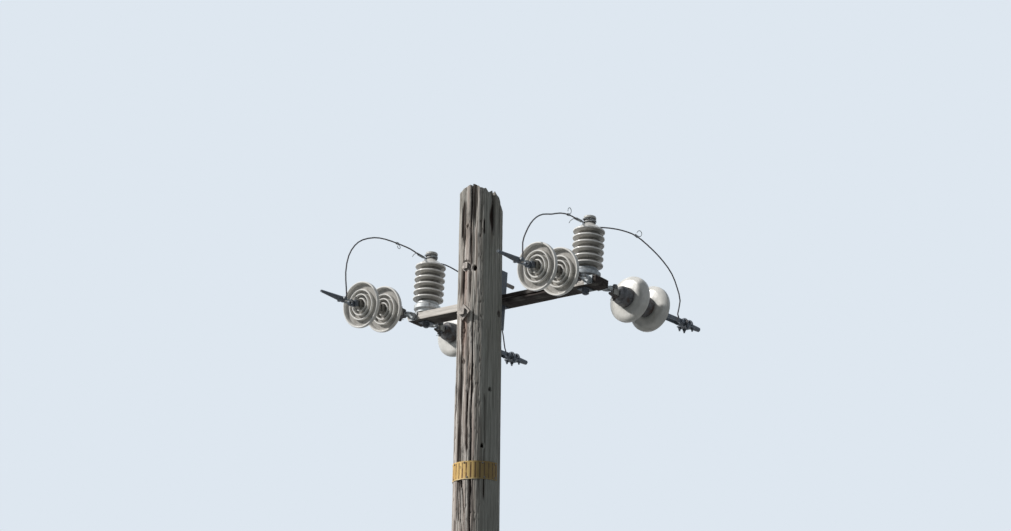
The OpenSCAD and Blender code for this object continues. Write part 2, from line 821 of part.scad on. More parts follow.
function smooth(p) = concat(
    [for (i = [0:len(p) - 2])
        let (n = max(1, round(norm(p[i + 1] - p[i]) / ring_step)))
        for (k = [0:n - 1]) blend(p, i, k / n)],
    [p[len(p) - 1]]
);

wire_sides = 10;

module wire(path) {
    n = len(path);
    points = [for (i = [0:n - 1])
        let (
            t = unit(path[min(i + 1, n - 1)] - path[max(i - 1, 0)]),
            u = unit(cross(t, [1, 0, 0])),
            v = cross(t, u)
        )
        for (k = [0:wire_sides - 1])
            path[i] + wire_r * (u * cos(k * 360 / wire_sides) + v * sin(k * 360 / wire_sides))
    ];
    sides = [for (i = [0:n - 2], k = [0:wire_sides - 1])
        let (a = i * wire_sides + k, b = i * wire_sides + (k + 1) % wire_sides)
        [a, a + wire_sides, b + wire_sides, b]
    ];
    ends = [
        [for (k = [0:wire_sides - 1]) k],
        [for (k = [wire_sides - 1:-1:0]) (n - 1) * wire_sides + k],
    ];
    polyhedron(points, concat(sides, ends));
}

module left_jumper() {
    color(bare_wire) wire(smooth(route(-1, left_near_span, left_far_span)));
}

module right_jumper() {
    color(bare_wire) wire(smooth(route(1, right_near_span, right_far_span)));
}

tie_r = 2;

module jumper_ties() {
    color(bare_wire) for (side = [-1, 1], s = [-1, 1])
        on_post(side) translate([0, 0, neck_at + s * (wire_r + tie_r + 0.2)])
            rotate_extrude($fn = 64)
                translate([neck_r + tie_r, 0])
                    circle(r = tie_r, $fn = 32);
}

// Sign band

sign_gap = 0.3;

module sign_band() {
    z0 = arm_z - sign_drop - sign_h / 2;
    z1 = z0 + sign_h;
    color(sign_yellow)
        rotate([0, 0, view_angle - 165])
            rotate_extrude(angle = 223, $fn = 96)
                polygon([
                    [pole_r(z0) + sign_gap, z0], [pole_r(z0) + sign_gap + sign_t, z0],
                    [pole_r(z1) + sign_gap + sign_t, z1], [pole_r(z1) + sign_gap, z1],
                ]);
}

pole();
crossarm();
crossarm_bracket();
crossarm_bolt();
upper_through_bolt();
lower_through_bolt();
left_post_base();
left_post_porcelain();
left_post_stud();
right_post_base();
right_post_porcelain();
right_post_stud();
left_eye_rod();
right_eye_rod();
near_left_eye_nut();
near_right_eye_nut();
far_left_eye_nut();
far_right_eye_nut();
near_left_shackle();
near_right_shackle();
far_left_shackle();
far_right_shackle();
near_left_discs();
near_right_discs();
far_left_discs();
far_right_discs();
near_left_inner_fittings();
near_right_inner_fittings();
far_left_inner_fittings();
far_right_inner_fittings();
near_left_outer_fittings();
near_right_outer_fittings();
far_left_outer_fittings();
far_right_outer_fittings();
near_left_clamp();
near_right_clamp();
far_left_clamp();
far_right_clamp();
near_left_u_bolts();
near_right_u_bolts();
far_left_u_bolts();
far_right_u_bolts();
left_jumper();
right_jumper();
jumper_ties();
sign_band();
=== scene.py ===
"""Weathered wooden power pole: its wood, porcelain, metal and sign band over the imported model."""

import math

import bpy
import numpy as np
from mathutils import Matrix, Vector


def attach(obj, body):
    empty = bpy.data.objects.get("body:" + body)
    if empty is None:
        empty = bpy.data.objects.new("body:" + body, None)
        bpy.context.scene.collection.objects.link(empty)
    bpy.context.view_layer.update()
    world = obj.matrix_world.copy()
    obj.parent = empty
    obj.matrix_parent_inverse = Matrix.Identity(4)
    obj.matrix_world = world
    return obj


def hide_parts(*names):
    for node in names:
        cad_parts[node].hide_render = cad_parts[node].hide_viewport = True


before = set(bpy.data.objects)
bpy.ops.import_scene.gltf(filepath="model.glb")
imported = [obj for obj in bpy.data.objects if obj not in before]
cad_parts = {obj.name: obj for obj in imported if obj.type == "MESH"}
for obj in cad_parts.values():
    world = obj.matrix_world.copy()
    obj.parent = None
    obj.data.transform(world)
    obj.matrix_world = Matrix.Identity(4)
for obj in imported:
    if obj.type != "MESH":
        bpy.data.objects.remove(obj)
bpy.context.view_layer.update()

# Sizes and places repeated from the part's source, in metres and degrees
POLE_H = 10.36
BUTT_R = 0.1375
TOP_R = 0.093
ARM_Z = 9.885
SEAT_DEPTH = 0.033
SEAT_H = 0.290
ARM_ROLL = 4.6
BRACKET_T = 0.008
ARM_W = 0.086
ARM_T = 0.038
ARM_L = 1.057
ARM_SHIFT = 0.0415
BOLT_GAP = 0.204
LEFT_EYE_X = 0.435
RIGHT_EYE_X = 0.530
EYE_AT = 0.036
STRING_DROOP = 4.4
SHACKLE_PIN_AT = 0.054
DISC_GAP = 0.140
LEFT_POST_IN = 0.037
RIGHT_POST_IN = 0.048
NECK_AT = 0.260
NECK_R = 0.022
WIRE_R = 0.003
SIGN_DROP = 0.764
SIGN_H = 0.078
# How far the crossarm's middle stands out from the flat seat
ARM_OUT = BRACKET_T + ARM_W / 2
# The side of the pole that the photograph shows, as an angle round the pole
SHOWN_SIDE = -49.0
# Where the bolts' heads are, as an angle from that side
BOLT_TURN = -41.0

# Where the photograph was taken from
CAMERA_TURN = 40.7
CAMERA_LIFT = -15.6
CAMERA_ROLL = 1.0
CAMERA_AWAY = 11.405
PHOTO_PIXELS = (1011, 531)
PIXELS_PER_METRE = 237.0
AIM_PIXEL = (479.6, 296.9)


# Shader maths


class Signal:
    """A socket's value, so that shader maths reads as plain arithmetic."""

    def __init__(self, recipe, socket):
        self.recipe = recipe
        self.socket = socket

    def maths(self, operation, *values):
        return self.recipe.node("Math", {"operation": operation}, dict(enumerate(values)))

    def __add__(self, other):
        return self.maths("ADD", self, other)

    def __sub__(self, other):
        return self.maths("SUBTRACT", self, other)

    def __rsub__(self, other):
        return self.maths("SUBTRACT", other, self)

    def __mul__(self, other):
        return self.maths("MULTIPLY", self, other)

    __radd__ = __add__
    __rmul__ = __mul__

    def between(self, low, high):
        """0 at low, 1 at high, smooth between and held outside."""
        return self.recipe.node(
            "MapRange", {"interpolation_type": "SMOOTHSTEP"}, {"Value": self, 1: low, 2: high}
        )


class Recipe:
    """The nodes of one material, or of the world."""

    def __init__(self, owner, shader="Principled BSDF", **constants):
        self.owner = bpy.data.materials.new(owner) if isinstance(owner, str) else owner
        self.owner.use_nodes = True
        self.tree = self.owner.node_tree
        self.shader = self.tree.nodes[shader]
        self.finish(**constants)

    def node(self, kind, settings=None, inputs=None, output=0):
        """Adds a node with its settings, then the values or links of its sockets."""
        made = self.tree.nodes.new("ShaderNode" + kind)
        for key, value in (settings or {}).items():
            setattr(made, key, value)
        for key, value in (inputs or {}).items():
            self.connect(made.inputs[key], value)
        return Signal(self, made.outputs[output])

    def connect(self, socket, value):
        """Links a signal to a socket, or sets a constant on it."""
        if isinstance(value, Signal):
            self.tree.links.new(value.socket, socket)
        else:
            socket.default_value = value

    def place(self, *stretch):
        """The place on the object, stretched: large numbers give a fine pattern that way."""
        return self.vector("MULTIPLY", self.node("TexCoord", output=3), stretch or (1, 1, 1))

    def vector(self, operation, first, second=None, output=0):
        inputs = {0: first} if second is None else {0: first, 1: second}
        return self.node("VectorMath", {"operation": operation}, inputs, output)

    def noise(self, *stretch, detail=4.0, roughness=0.55):
        """Noise over the object, stretched as a place is."""
        return self.node(
            "TexNoise",
            None,
            {"Vector": self.place(*stretch), "Scale": 1.0, "Detail": detail, "Roughness": roughness},
        )

    def layer(self, name):
        """A number that the mesh keeps for each point."""
        return self.node("Attribute", {"attribute_name": name}, output=2)

    def to_camera(self):
        """1 for rays that the camera sees, straight, in a reflection or through glass."""
        direct, mirrored, passing = (self.node("LightPath", output=number) for number in (0, 3, 6))
        return direct.maths("MAXIMUM", direct, mirrored.maths("MAXIMUM", mirrored, passing))

    def mix(self, share, first, second):
        """A colour that goes from the first to the second as the share goes from 0 to 1."""
        inputs = {0: share, 6: first, 7: second}
        return self.node("Mix", {"data_type": "RGBA"}, inputs, output=2)

    def cover(self, tone, *coats):
        """Lays coats over a colour one after the other, each given as its share and colour."""
        for share, colour in coats:
            tone = self.mix(share, tone, colour)
        return tone

    def bump(self, height, distance, strength=1.0, under=None):
        inputs = {"Height": height, "Distance": distance, "Strength": strength}
        if under:
            inputs["Normal"] = under
        return self.node("Bump", None, inputs)

    def finish(self, **values):
        """Sets or links the shader's sockets by name, and gives back the material."""
        for key, value in values.items():
            self.connect(self.shader.inputs[socket_name(key)], value)
        return self.owner


def socket_name(key):
    """The shader's own name for a socket: specular_ior_level becomes Specular IOR Level."""
    return key.replace("_", " ").title().replace("Ior", "IOR")


def paint(red, green, blue):
    """A colour given as it looks on a screen, 0 to 255, in the linear values that nodes use."""
    linear = []
    for value in (red / 255, green / 255, blue / 255):
        linear.append(value / 12.92 if value <= 0.04045 else ((value + 0.055) / 1.055) ** 2.4)
    return (*linear, 1.0)


# Finishes


def old_pole_wood():
    wood = Recipe("old_pole_wood", roughness=0.95, specular_ior_level=0.2)
    grain = wood.noise(230, 230, 4.5, detail=5, roughness=0.62)
    fibre = wood.noise(900, 900, 12, detail=3)
    patches = wood.noise(11, 11, 2.2, detail=3)
    # Painted shade in gaps, splits, pits and holes; real stain on rot bands and knots
    hollow = wood.layer("hollow")
    bleached = wood.layer("bleached")
    ridge = wood.layer("ridge")
    rusted = wood.layer("rusted")
    grey = wood.mix(grain.between(0.32, 0.68), paint(141, 141, 135), paint(199, 200, 194))
    pale = wood.mix(grain.between(0.30, 0.66), paint(154, 141, 131), paint(246, 242, 237))
    tint = wood.noise(70, 70, 2.0, detail=2)
    pale = wood.mix(tint.between(0.42, 0.60) * 0.35, pale, paint(184, 160, 148))
    # Pale wood stands for painted sunlight on the shown side's left and for bleaching on ridges, top
    # and back
    tone = wood.cover(
        wood.mix(bleached * (0.30 + 0.70 * ridge), grey, pale),
        (patches.between(0.52, 0.75) * 0.40, paint(104, 88, 74)),
        (fibre.between(0.58, 0.75) * 0.35, paint(66, 58, 50)),
        (rusted * (0.35 + 0.4 * fibre), paint(150, 100, 78)),
        (hollow.between(0.14, 0.72), paint(44, 33, 28)),
    )
    normal = wood.bump(grain * 0.7 + fibre * 0.3, 0.005, 1.0)
    return wood.finish(base_color=tone, normal=normal)


def old_crossarm_wood():
    wood = Recipe("old_crossarm_wood", roughness=0.9, specular_ior_level=0.2)
    grain = wood.noise(7, 260, 260, detail=5, roughness=0.6)
    fibre = wood.noise(20, 900, 900, detail=3)
    patches = wood.noise(9, 22, 22, detail=3)
    # Painted shade in the grain's gaps and splits, with the darker end grain
    hollow = wood.layer("hollow")
    stained = wood.layer("stained")
    # Pale is the sunlit wood and dark a shaded copy of it, mixed by the painted shade layer
    pale = wood.mix(grain.between(0.25, 0.6), paint(196, 189, 181), paint(236, 232, 227))
    dark = wood.mix(grain.between(0.3, 0.68), paint(44, 40, 40), paint(78, 72, 70))
    tone = wood.cover(
        wood.mix(stained, pale, dark),
        (patches.between(0.55, 0.78) * 0.4, paint(118, 104, 92)),
        (fibre.between(0.6, 0.78) * 0.3, paint(96, 84, 76)),
        (hollow.between(0.15, 0.8), paint(44, 36, 32)),
    )
    normal = wood.bump(grain * 0.7 + fibre * 0.3, 0.003, 0.8)
    return wood.finish(base_color=tone, normal=normal)


def grey_porcelain(name, foot, axis, stacked):
    """Pale grey glaze on one string's discs, or with stacked on one post insulator."""
    glaze = Recipe("glaze_" + name, coat_weight=0.15, coat_roughness=0.15, specular_ior_level=0.35)
    cloud = glaze.noise(18, 18, 18, detail=3)
    dust = glaze.noise(70, 70, 30, detail=5, roughness=0.65)
    specks = glaze.noise(420, 420, 420, detail=2)
    # Where a point lies: along the insulator, out from its axis, and which way it faces
    reach = glaze.vector("SUBTRACT", glaze.place(), foot)
    along = glaze.vector("DOT_PRODUCT", reach, axis, output=1)
    out = glaze.vector("LENGTH", glaze.vector("CROSS_PRODUCT", reach, axis), output=1)
    facing = glaze.vector("DOT_PRODUCT", glaze.node("TexCoord", output=1), axis, output=1)
    if stacked:
        # Painted shade with dirt: darker between the sheds and on their undersides
        gap = (1 - out.between(0.043, 0.055)) * (1 - along.between(0.215, 0.235)) * 0.9
        under = (1 - facing.between(-0.85, -0.45)) * 0.60
        grime_and_shade = gap.maths("MAXIMUM", gap, under)
        wire_stain = along.between(0.238, 0.254) * 0.6
        painted_edge_highlight = out.between(0.0600, 0.0650) * facing.between(-0.8, -0.4)
    else:
        deep = along.maths("MODULO", along - SHACKLE_PIN_AT, DISC_GAP)
        # Painted shade with dirt: darker in the troughs between the petticoats
        trough = (1 - deep.between(0.0985, 0.1085)) * facing.between(-0.45, -0.10)
        grime_and_shade = trough * (1 - out.between(0.090, 0.094)) * 0.68
        wire_stain = (1 - out.between(0.044, 0.058)) * (1 - facing.between(-0.2, 0.2)) * 0.6
        painted_edge_highlight = deep.between(0.1095, 0.1118)
    tone = glaze.cover(
        glaze.mix(cloud.between(0.35, 0.65), paint(222, 222, 219), paint(242, 241, 237)),
        (dust.between(0.50, 0.78) * 0.38, paint(172, 164, 150)),
        (grime_and_shade * (0.66 + 0.3 * dust), paint(78, 69, 56)),
        (wire_stain * 0.5, paint(84, 92, 92)),
        (specks.between(0.66, 0.74) * 0.5, paint(96, 90, 84)),
        # A painted highlight along the sheds' rims and the petticoats' crests
        (painted_edge_highlight * 0.85, paint(250, 249, 246)),
    )
    gloss = 0.20 + 0.30 * dust.between(0.45, 0.75) + 0.35 * grime_and_shade
    normal = glaze.bump(cloud * 0.7 + dust * 0.3, 0.0012, 0.5)
    return glaze.finish(base_color=tone, roughness=gloss, normal=normal)


def cast_iron(metal):
    """The grain of cast iron, its patches of rust, and the colours of bare and of rusty iron."""
    cast = metal.noise(300, 300, 300)
    patches = metal.noise(38, 38, 38, detail=5, roughness=0.62)
    bare = metal.mix(cast.between(0.35, 0.65), paint(66, 66, 69), paint(104, 105, 107))
    brown = metal.mix(cast.between(0.3, 0.7), paint(58, 46, 40), paint(98, 76, 62))
    return cast, patches, bare, brown


def cap_and_pin(name, foot, axis):
    """Rusty cast caps and galvanised pins and forks, told apart by their place in a string."""
    metal = Recipe("cap_and_pin_" + name)
    reach = metal.vector("SUBTRACT", metal.place(), foot)
    along = metal.vector("DOT_PRODUCT", reach, axis, output=1)
    place = along.maths("MODULO", along - SHACKLE_PIN_AT, DISC_GAP)
    cap = place.between(0.013, 0.016) * (1 - place.between(0.0785, 0.0800))
    cast, patches, bare, brown = cast_iron(metal)
    rust = patches.between(0.46, 0.66) * (0.3 + 0.7 * cap)
    zinc = metal.mix(patches.between(0.35, 0.65), paint(118, 116, 111), paint(168, 166, 160))
    tone = metal.mix(rust * 0.75, metal.mix(cap, zinc, bare), brown)
    normal = metal.bump(cast * 0.6 + patches * 0.4, 0.0012, 0.6)
    return metal.finish(
        base_color=tone, metallic=0.4 * (1 - rust), roughness=0.5 + 0.3 * rust, normal=normal
    )


def rusty_iron():
    iron = Recipe("rusty_iron")
    cast, patches, bare, brown = cast_iron(iron)
    rust = patches.between(0.46, 0.66)
    tone = iron.mix(rust * 0.75, bare, brown)
    normal = iron.bump(cast * 0.6 + patches * 0.4, 0.0015, 0.7)
    return iron.finish(
        base_color=tone, metallic=0.45 * (1 - rust), roughness=0.55 + 0.3 * rust, normal=normal
    )


def galvanised_steel(name, dark, pale):
    """An old zinc coat: the grains of the coat, clouds of oxide and a little rust."""
    zinc = Recipe(name)
    spangle = zinc.node("TexVoronoi", None, {"Vector": zinc.place(110, 110, 110), "Scale": 1.0}, 1)
    cloud = zinc.noise(30, 30, 30)
    stains = zinc.noise(55, 55, 14, detail=5, roughness=0.65)
    crystal = zinc.node("SeparateColor", None, {0: spangle}, 0)
    tone = zinc.mix(crystal * 0.5 + cloud * 0.5, dark, pale)
    tone = zinc.mix(stains.between(0.56, 0.74) * 0.6, tone, paint(96, 76, 62))
    normal = zinc.bump(crystal * 0.4 + cloud * 0.6, 0.0008, 0.5)
    return zinc.finish(
        base_color=tone,
        metallic=0.5 - 0.45 * stains.between(0.5, 0.7),
        roughness=0.45 + 0.2 * cloud,
        normal=normal,
    )


def oxidised_wire():
    wire = Recipe("oxidised_wire")
    film = wire.noise(90, 90, 90)
    pits = wire.noise(700, 700, 700, detail=2)
    tone = wire.mix(film.between(0.35, 0.65), paint(52, 54, 60), paint(88, 84, 84))
    tone = wire.mix(film.between(0.6, 0.75) * 0.5, tone, paint(96, 112, 108))
    normal = wire.bump(pits, 0.0004, 0.5)
    return wire.finish(
        base_color=tone, metallic=0.45, roughness=0.45 + 0.25 * film, normal=normal
    )


def worn_sign_paint():
    sign = Recipe("worn_sign_paint")
    along = sign.node("SeparateXYZ", None, {0: sign.node("TexCoord", output=2)}, 0)
    across = sign.node("SeparateXYZ", None, {0: sign.node("TexCoord", output=2)}, 1)
    scuffs = sign.noise(60, 60, 40, detail=5, roughness=0.68)
    fade = sign.noise(14, 14, 9, detail=3)
    # Plain upright bars, clear of the sheet's edges
    stripe = along.maths("PINGPONG", along, 0.5)
    bar = stripe.between(0.30, 0.34) * across.between(0.06, 0.08) * (1 - across.between(0.91, 0.93))
    yellow = sign.mix(fade.between(0.3, 0.7), paint(226, 184, 108), paint(242, 210, 138))
    lip = 1 - across.between(0.02, 0.06)
    tone = sign.cover(
        yellow,
        (bar * (1 - 0.5 * scuffs.between(0.5, 0.62)), paint(104, 68, 28)),
        (scuffs.between(0.6, 0.7), paint(120, 92, 64)),
        (lip * 0.6, paint(240, 226, 190)),
        # Painted shade: the right part, on the pole's unlit side, is darkened
        (along.between(12.5, 15.5) * 0.70, paint(84, 74, 50)),
    )
    normal = sign.bump(scuffs, 0.0008, 0.6)
    return sign.finish(base_color=tone, roughness=0.55 + 0.3 * scuffs, normal=normal)


def pale_floor():
    floor = Recipe("pale_floor", roughness=0.9)
    mottle = floor.noise(0.4, 0.4, 0.4, detail=2)
    tone = floor.mix(mottle.between(0.3, 0.7), paint(234, 237, 240), paint(238, 240, 243))
    # It looks pale, but it throws less light up at the pole, as real ground does
    return floor.finish(base_color=floor.mix(floor.to_camera(), paint(104, 106, 104), tone))


# Helpers for meshes


def select_only(*pieces):
    """Selects these pieces and nothing else, and makes the first one active."""
    bpy.ops.object.select_all(action="DESELECT")
    for piece in pieces:
        piece.select_set(True)
    if pieces:
        bpy.context.view_layer.objects.active = pieces[0]


def new_sheet(name, columns, rows):
    """A flat divided sheet, and for each point how far across it lies, from 0 to 1, and its row."""
    select_only()
    bpy.ops.mesh.primitive_grid_add(x_subdivisions=columns, y_subdivisions=rows, size=1)
    sheet = bpy.context.object
    sheet.name = name
    across, up, _ = points_of(sheet).T + 0.5
    return sheet, across, np.rint(up * rows).astype(int)


def points_of(piece, what="co"):
    """A piece's points as rows of x, y and z, or with "normal" the way that each faces."""
    values = np.empty(len(piece.data.vertices) * 3)
    piece.data.vertices.foreach_get(what, values)
    return values.reshape(-1, 3)


def move_points(piece, x, y, z):
    piece.data.vertices.foreach_set("co", np.stack([x, y, z], axis=1).ravel())


def mark_points(piece, **layers):
    """Keeps a number a point in each named layer, for the finish to read."""
    for name, values in layers.items():
        layer = piece.data.attributes.new(name, "FLOAT", "POINT")
        layer.data.foreach_set("value", values.astype(np.float32))


def close_seams(piece, distance=0.00001):
    """Joins the points that meet where a rolled sheet's edges touch."""
    select_only(piece)
    bpy.ops.object.mode_set(mode="EDIT")
    bpy.ops.mesh.select_all(action="SELECT")
    bpy.ops.mesh.remove_doubles(threshold=distance)
    bpy.ops.mesh.normals_make_consistent(inside=False)
    bpy.ops.object.mode_set(mode="OBJECT")


def shade(piece, degrees):
    """Shades bends up to these degrees smooth and keeps sharper ones crisp."""
    select_only(piece)
    bpy.ops.object.shade_smooth_by_angle(angle=math.radians(degrees))


def settle(piece, finish, slot, *nodes):
    """Gives a piece its finish and its place in the model."""
    piece.data.materials.clear()
    piece.data.materials.append(finish)
    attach(piece, "root")
    if nodes:
        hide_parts(*nodes)


# Noise for carving wood


def ripple(u, v, seed, wrap=64):
    """Smooth noise from -1 to 1 over u and v, both counted in cells; u repeats after wrap."""
    table = np.random.default_rng(seed).uniform(-1, 1, (wrap, 97))
    iu = np.floor(u).astype(int)
    iv = np.floor(v).astype(int)
    fu = u - iu
    fv = v - iv
    fu = fu * fu * (3 - 2 * fu)
    fv = fv * fv * (3 - 2 * fv)
    low = table[iu % wrap, iv % 97] * (1 - fu) + table[(iu + 1) % wrap, iv % 97] * fu
    high = table[iu % wrap, (iv + 1) % 97] * (1 - fu) + table[(iu + 1) % wrap, (iv + 1) % 97] * fu
    return low * (1 - fv) + high * fv


def step(value, low, high):
    """0 at low, 1 at high, smooth between and held outside."""
    t = np.clip((value - low) / (high - low), 0, 1)
    return t * t * (3 - 2 * t)


def span(value, start, stop, rise, fall):
    """1 between start and stop, rising over the first stretch and falling over the last."""
    return step(value, start, start + rise) * (1 - step(value, stop - fall, stop))


def peak(distance, width):
    """1 at no distance, falling smoothly to nearly 0 at two widths."""
    return np.exp(-((distance / width) ** 2))


# The pole

# Drying splits: angle from the shown side, top below the pole's top, length, width, depth, sway
SPLITS = [
    (-48, 0.190, 1.320, 0.0085, 0.026, 1.5),
    (-27, -0.050, 0.380, 0.0070, 0.020, 1.5),
    (-60, 0.070, 0.190, 0.0060, 0.014, 1.0),
    (36, 0.062, 0.175, 0.0125, 0.028, 1.0),
    (9, 0.148, 0.090, 0.0060, 0.014, 0.5),
    (58, 0.050, 0.420, 0.0060, 0.012, 1.5),
    (-17, 0.570, 0.620, 0.0048, 0.012, 1.2),
    (-15, 1.230, 2.200, 0.0070, 0.020, 1.6),
    (-41, 1.220, 0.110, 0.0110, 0.018, 0.5),
    (-36, 1.500, 1.900, 0.0090, 0.022, 1.6),
    (31, 2.600, 2.800, 0.0100, 0.026, 1.6),
    (110, 0.450, 2.300, 0.0100, 0.026, 1.6),
    (159, 0.500, 1.900, 0.0120, 0.028, 1.6),
    (-111, 0.700, 2.400, 0.0100, 0.024, 1.6),
    (69, 1.500, 3.000, 0.0120, 0.026, 1.6),
    (-90, 3.600, 3.200, 0.0110, 0.026, 1.6),
    (5, 5.200, 3.600, 0.0120, 0.028, 1.6),
    (140, 4.100, 3.900, 0.0110, 0.026, 1.6),
    (-150, 5.600, 3.400, 0.0110, 0.024, 1.6),
    (80, 6.400, 3.100, 0.0100, 0.024, 1.6),
]

# Knots: angle from the shown side, distance below the top, radius
KNOTS = [
    (-43, 0.640, 0.011),
    (-42, 0.775, 0.009),
    (62, 0.560, 0.012),
    (-95, 0.360, 0.012),
    (150, 1.150, 0.014),
    (-70, 1.900, 0.015),
    (20, 2.650, 0.014),
    (100, 3.300, 0.016),
    (-30, 4.300, 0.015),
    (-140, 4.900, 0.016),
    (45, 6.100, 0.017),
    (-60, 7.400, 0.018),
    (130, 8.200, 0.018),
]

# Old bolt holes: angle from the shown side, distance below the top, radius
HOLES = [(-38, 0.185, 0.0060), (-14, 0.373, 0.0105), (31, 0.895, 0.0070), (12, 1.137, 0.0070)]

# Rotten dark bands along the grain: angle from the shown side, top below the top, length, width
ROTTEN_BANDS = [
    (-52, 0.050, 0.250, 0.036),
    (-18, -0.060, 0.270, 0.030),
    (31, -0.020, 0.280, 0.024),
    (-51, 0.350, 0.180, 0.032),
    (-55, 0.720, 0.760, 0.017),
    (-46, 0.570, 0.140, 0.016),
    (-25, 0.200, 0.340, 0.012),
    (-16, 0.540, 0.340, 0.012),
    (-17, 0.980, 0.560, 0.012),
    (-29, 0.880, 0.320, 0.012),
    (-70, 0.520, 0.500, 0.016),
    (18, 0.900, 0.500, 0.008),
    (-75, 0.300, 0.900, 0.012),
    (120, 0.000, 0.600, 0.020),
    (-160, 0.050, 0.900, 0.022),
    (85, 0.000, 0.350, 0.014),
    (-100, 1.700, 1.200, 0.016),
    (-35, 2.400, 1.500, 0.012),
]

# Proud pale ridges along the grain: angle from the shown side, top below the top, length, width
PALE_RIDGES = [
    (-6, -0.020, 0.215, 0.010),
    (-36, -0.020, 0.180, 0.020),
    (-34, 0.220, 0.280, 0.014),
    (-10, 0.180, 0.330, 0.016),
    (-36, 0.560, 0.600, 0.014),
    (-9, 0.900, 0.330, 0.010),
    (-64, 0.480, 0.650, 0.008),
    (150, 0.150, 0.500, 0.012),
    (-130, 0.400, 0.700, 0.012),
]

# How deep each kind of wear goes, and how far a split's lips stand up
GAP_DEPTH = 0.0042
HAIR_DEPTH = 0.0014
WAVE_DEPTH = 0.0018
PIT_DEPTH = 0.0016
ROT_DEPTH = 0.0026
KNOT_DEPTH = 0.0016
MOAT_DEPTH = 0.0025
HOLE_DEPTH = 0.030
CRACK_DEPTH = 0.030
LIP_HEIGHT = 0.0008

# The broken top's edge from the shown side: distance right of the middle, drop below the top
TOP_EDGE = [
    (-0.100, 0.018),
    (-0.088, 0.016),
    (-0.060, 0.005),
    (-0.036, 0.000),
    (-0.022, 0.004),
    (-0.006, 0.013),
    (0.019, 0.019),
    (0.031, 0.034),
    (0.041, 0.030),
    (0.055, 0.021),
    (0.062, 0.034),
    (0.076, 0.053),
    (0.089, 0.086),
    (0.100, 0.135),
]


def pole_radius(z):
    return BUTT_R + (TOP_R - BUTT_R) * z / POLE_H


def turned(angle):
    """Degrees brought to the range from -180 to 180."""
    return (angle + 180) % 360 - 180


def beside(turn, angle, radius):
    """How far round the pole a turn lies from an angle, in metres."""
    return turned(turn - angle) * radius * math.pi / 180


def past_knots(turn, drop, radius):
    """The turn of the grain line through a place, where the lines run round the knots."""
    around = turn.copy()
    for angle, below, size in KNOTS:
        aside = beside(turn, angle, radius)
        near = peak(aside, 2.2 * size) * peak(drop - below, 4.5 * size)
        around -= np.sign(aside) * near * np.degrees(0.8 * size / radius)
    return around


def open_grain(turn, z, around):
    """The depth, darkness and ridges of the weathered grain, and its strands and fine lines."""
    sway = ripple(3.5, z / 0.30, 11) * 2.6
    sway = sway + ripple(around / 30, z / 0.55, 12, 12) * 2.4
    sway = sway + ripple(around / 24, z / 0.085, 13, 15) * 1.3
    cell = (around + sway) / 360

    # Worn gaps and hairlines between the strands, most on the sides that the weather reaches
    rough = 0.30 + 0.70 * step(8 - turned(turn), -10, 10) * step(turned(turn), -150, -115)
    rough = np.maximum(rough, 0.55 * step(np.abs(turned(turn - 150)), 60, 20))
    broad = ripple(cell * 26, z / 0.85, 21, 26)
    strand = ripple(cell * 64, z / 0.42, 22, 64)
    fine = ripple(cell * 140, z / 0.20, 23, 140)
    there = step(ripple(cell * 18, z / 0.26, 24, 18), -0.35, 0.35)
    gap = peak(strand, 0.26) * (0.35 + 0.65 * there)
    hair = peak(fine, 0.30) * (1 - 0.5 * there)
    waves = WAVE_DEPTH * (0.5 - 0.5 * broad) * (0.4 + 0.6 * rough)
    depth = rough * (GAP_DEPTH * gap + HAIR_DEPTH * hair) + waves
    # The gaps' and hairlines' darkness is painted shade in the recesses
    dark = rough * (0.52 * gap + 0.20 * hair)
    ridge = np.clip(0.55 + 0.35 * strand + 0.25 * broad, 0, 1)

    # Small pits where the soft wood has crumbled, painted dark inside as shade
    pits = step(ripple(cell * 120, z / 0.016, 25, 120) + 0.3 * broad, 0.42, 0.85) * rough
    depth = depth + PIT_DEPTH * pits
    dark = np.maximum(dark, 0.48 * pits)
    return depth, dark, ridge, strand, fine


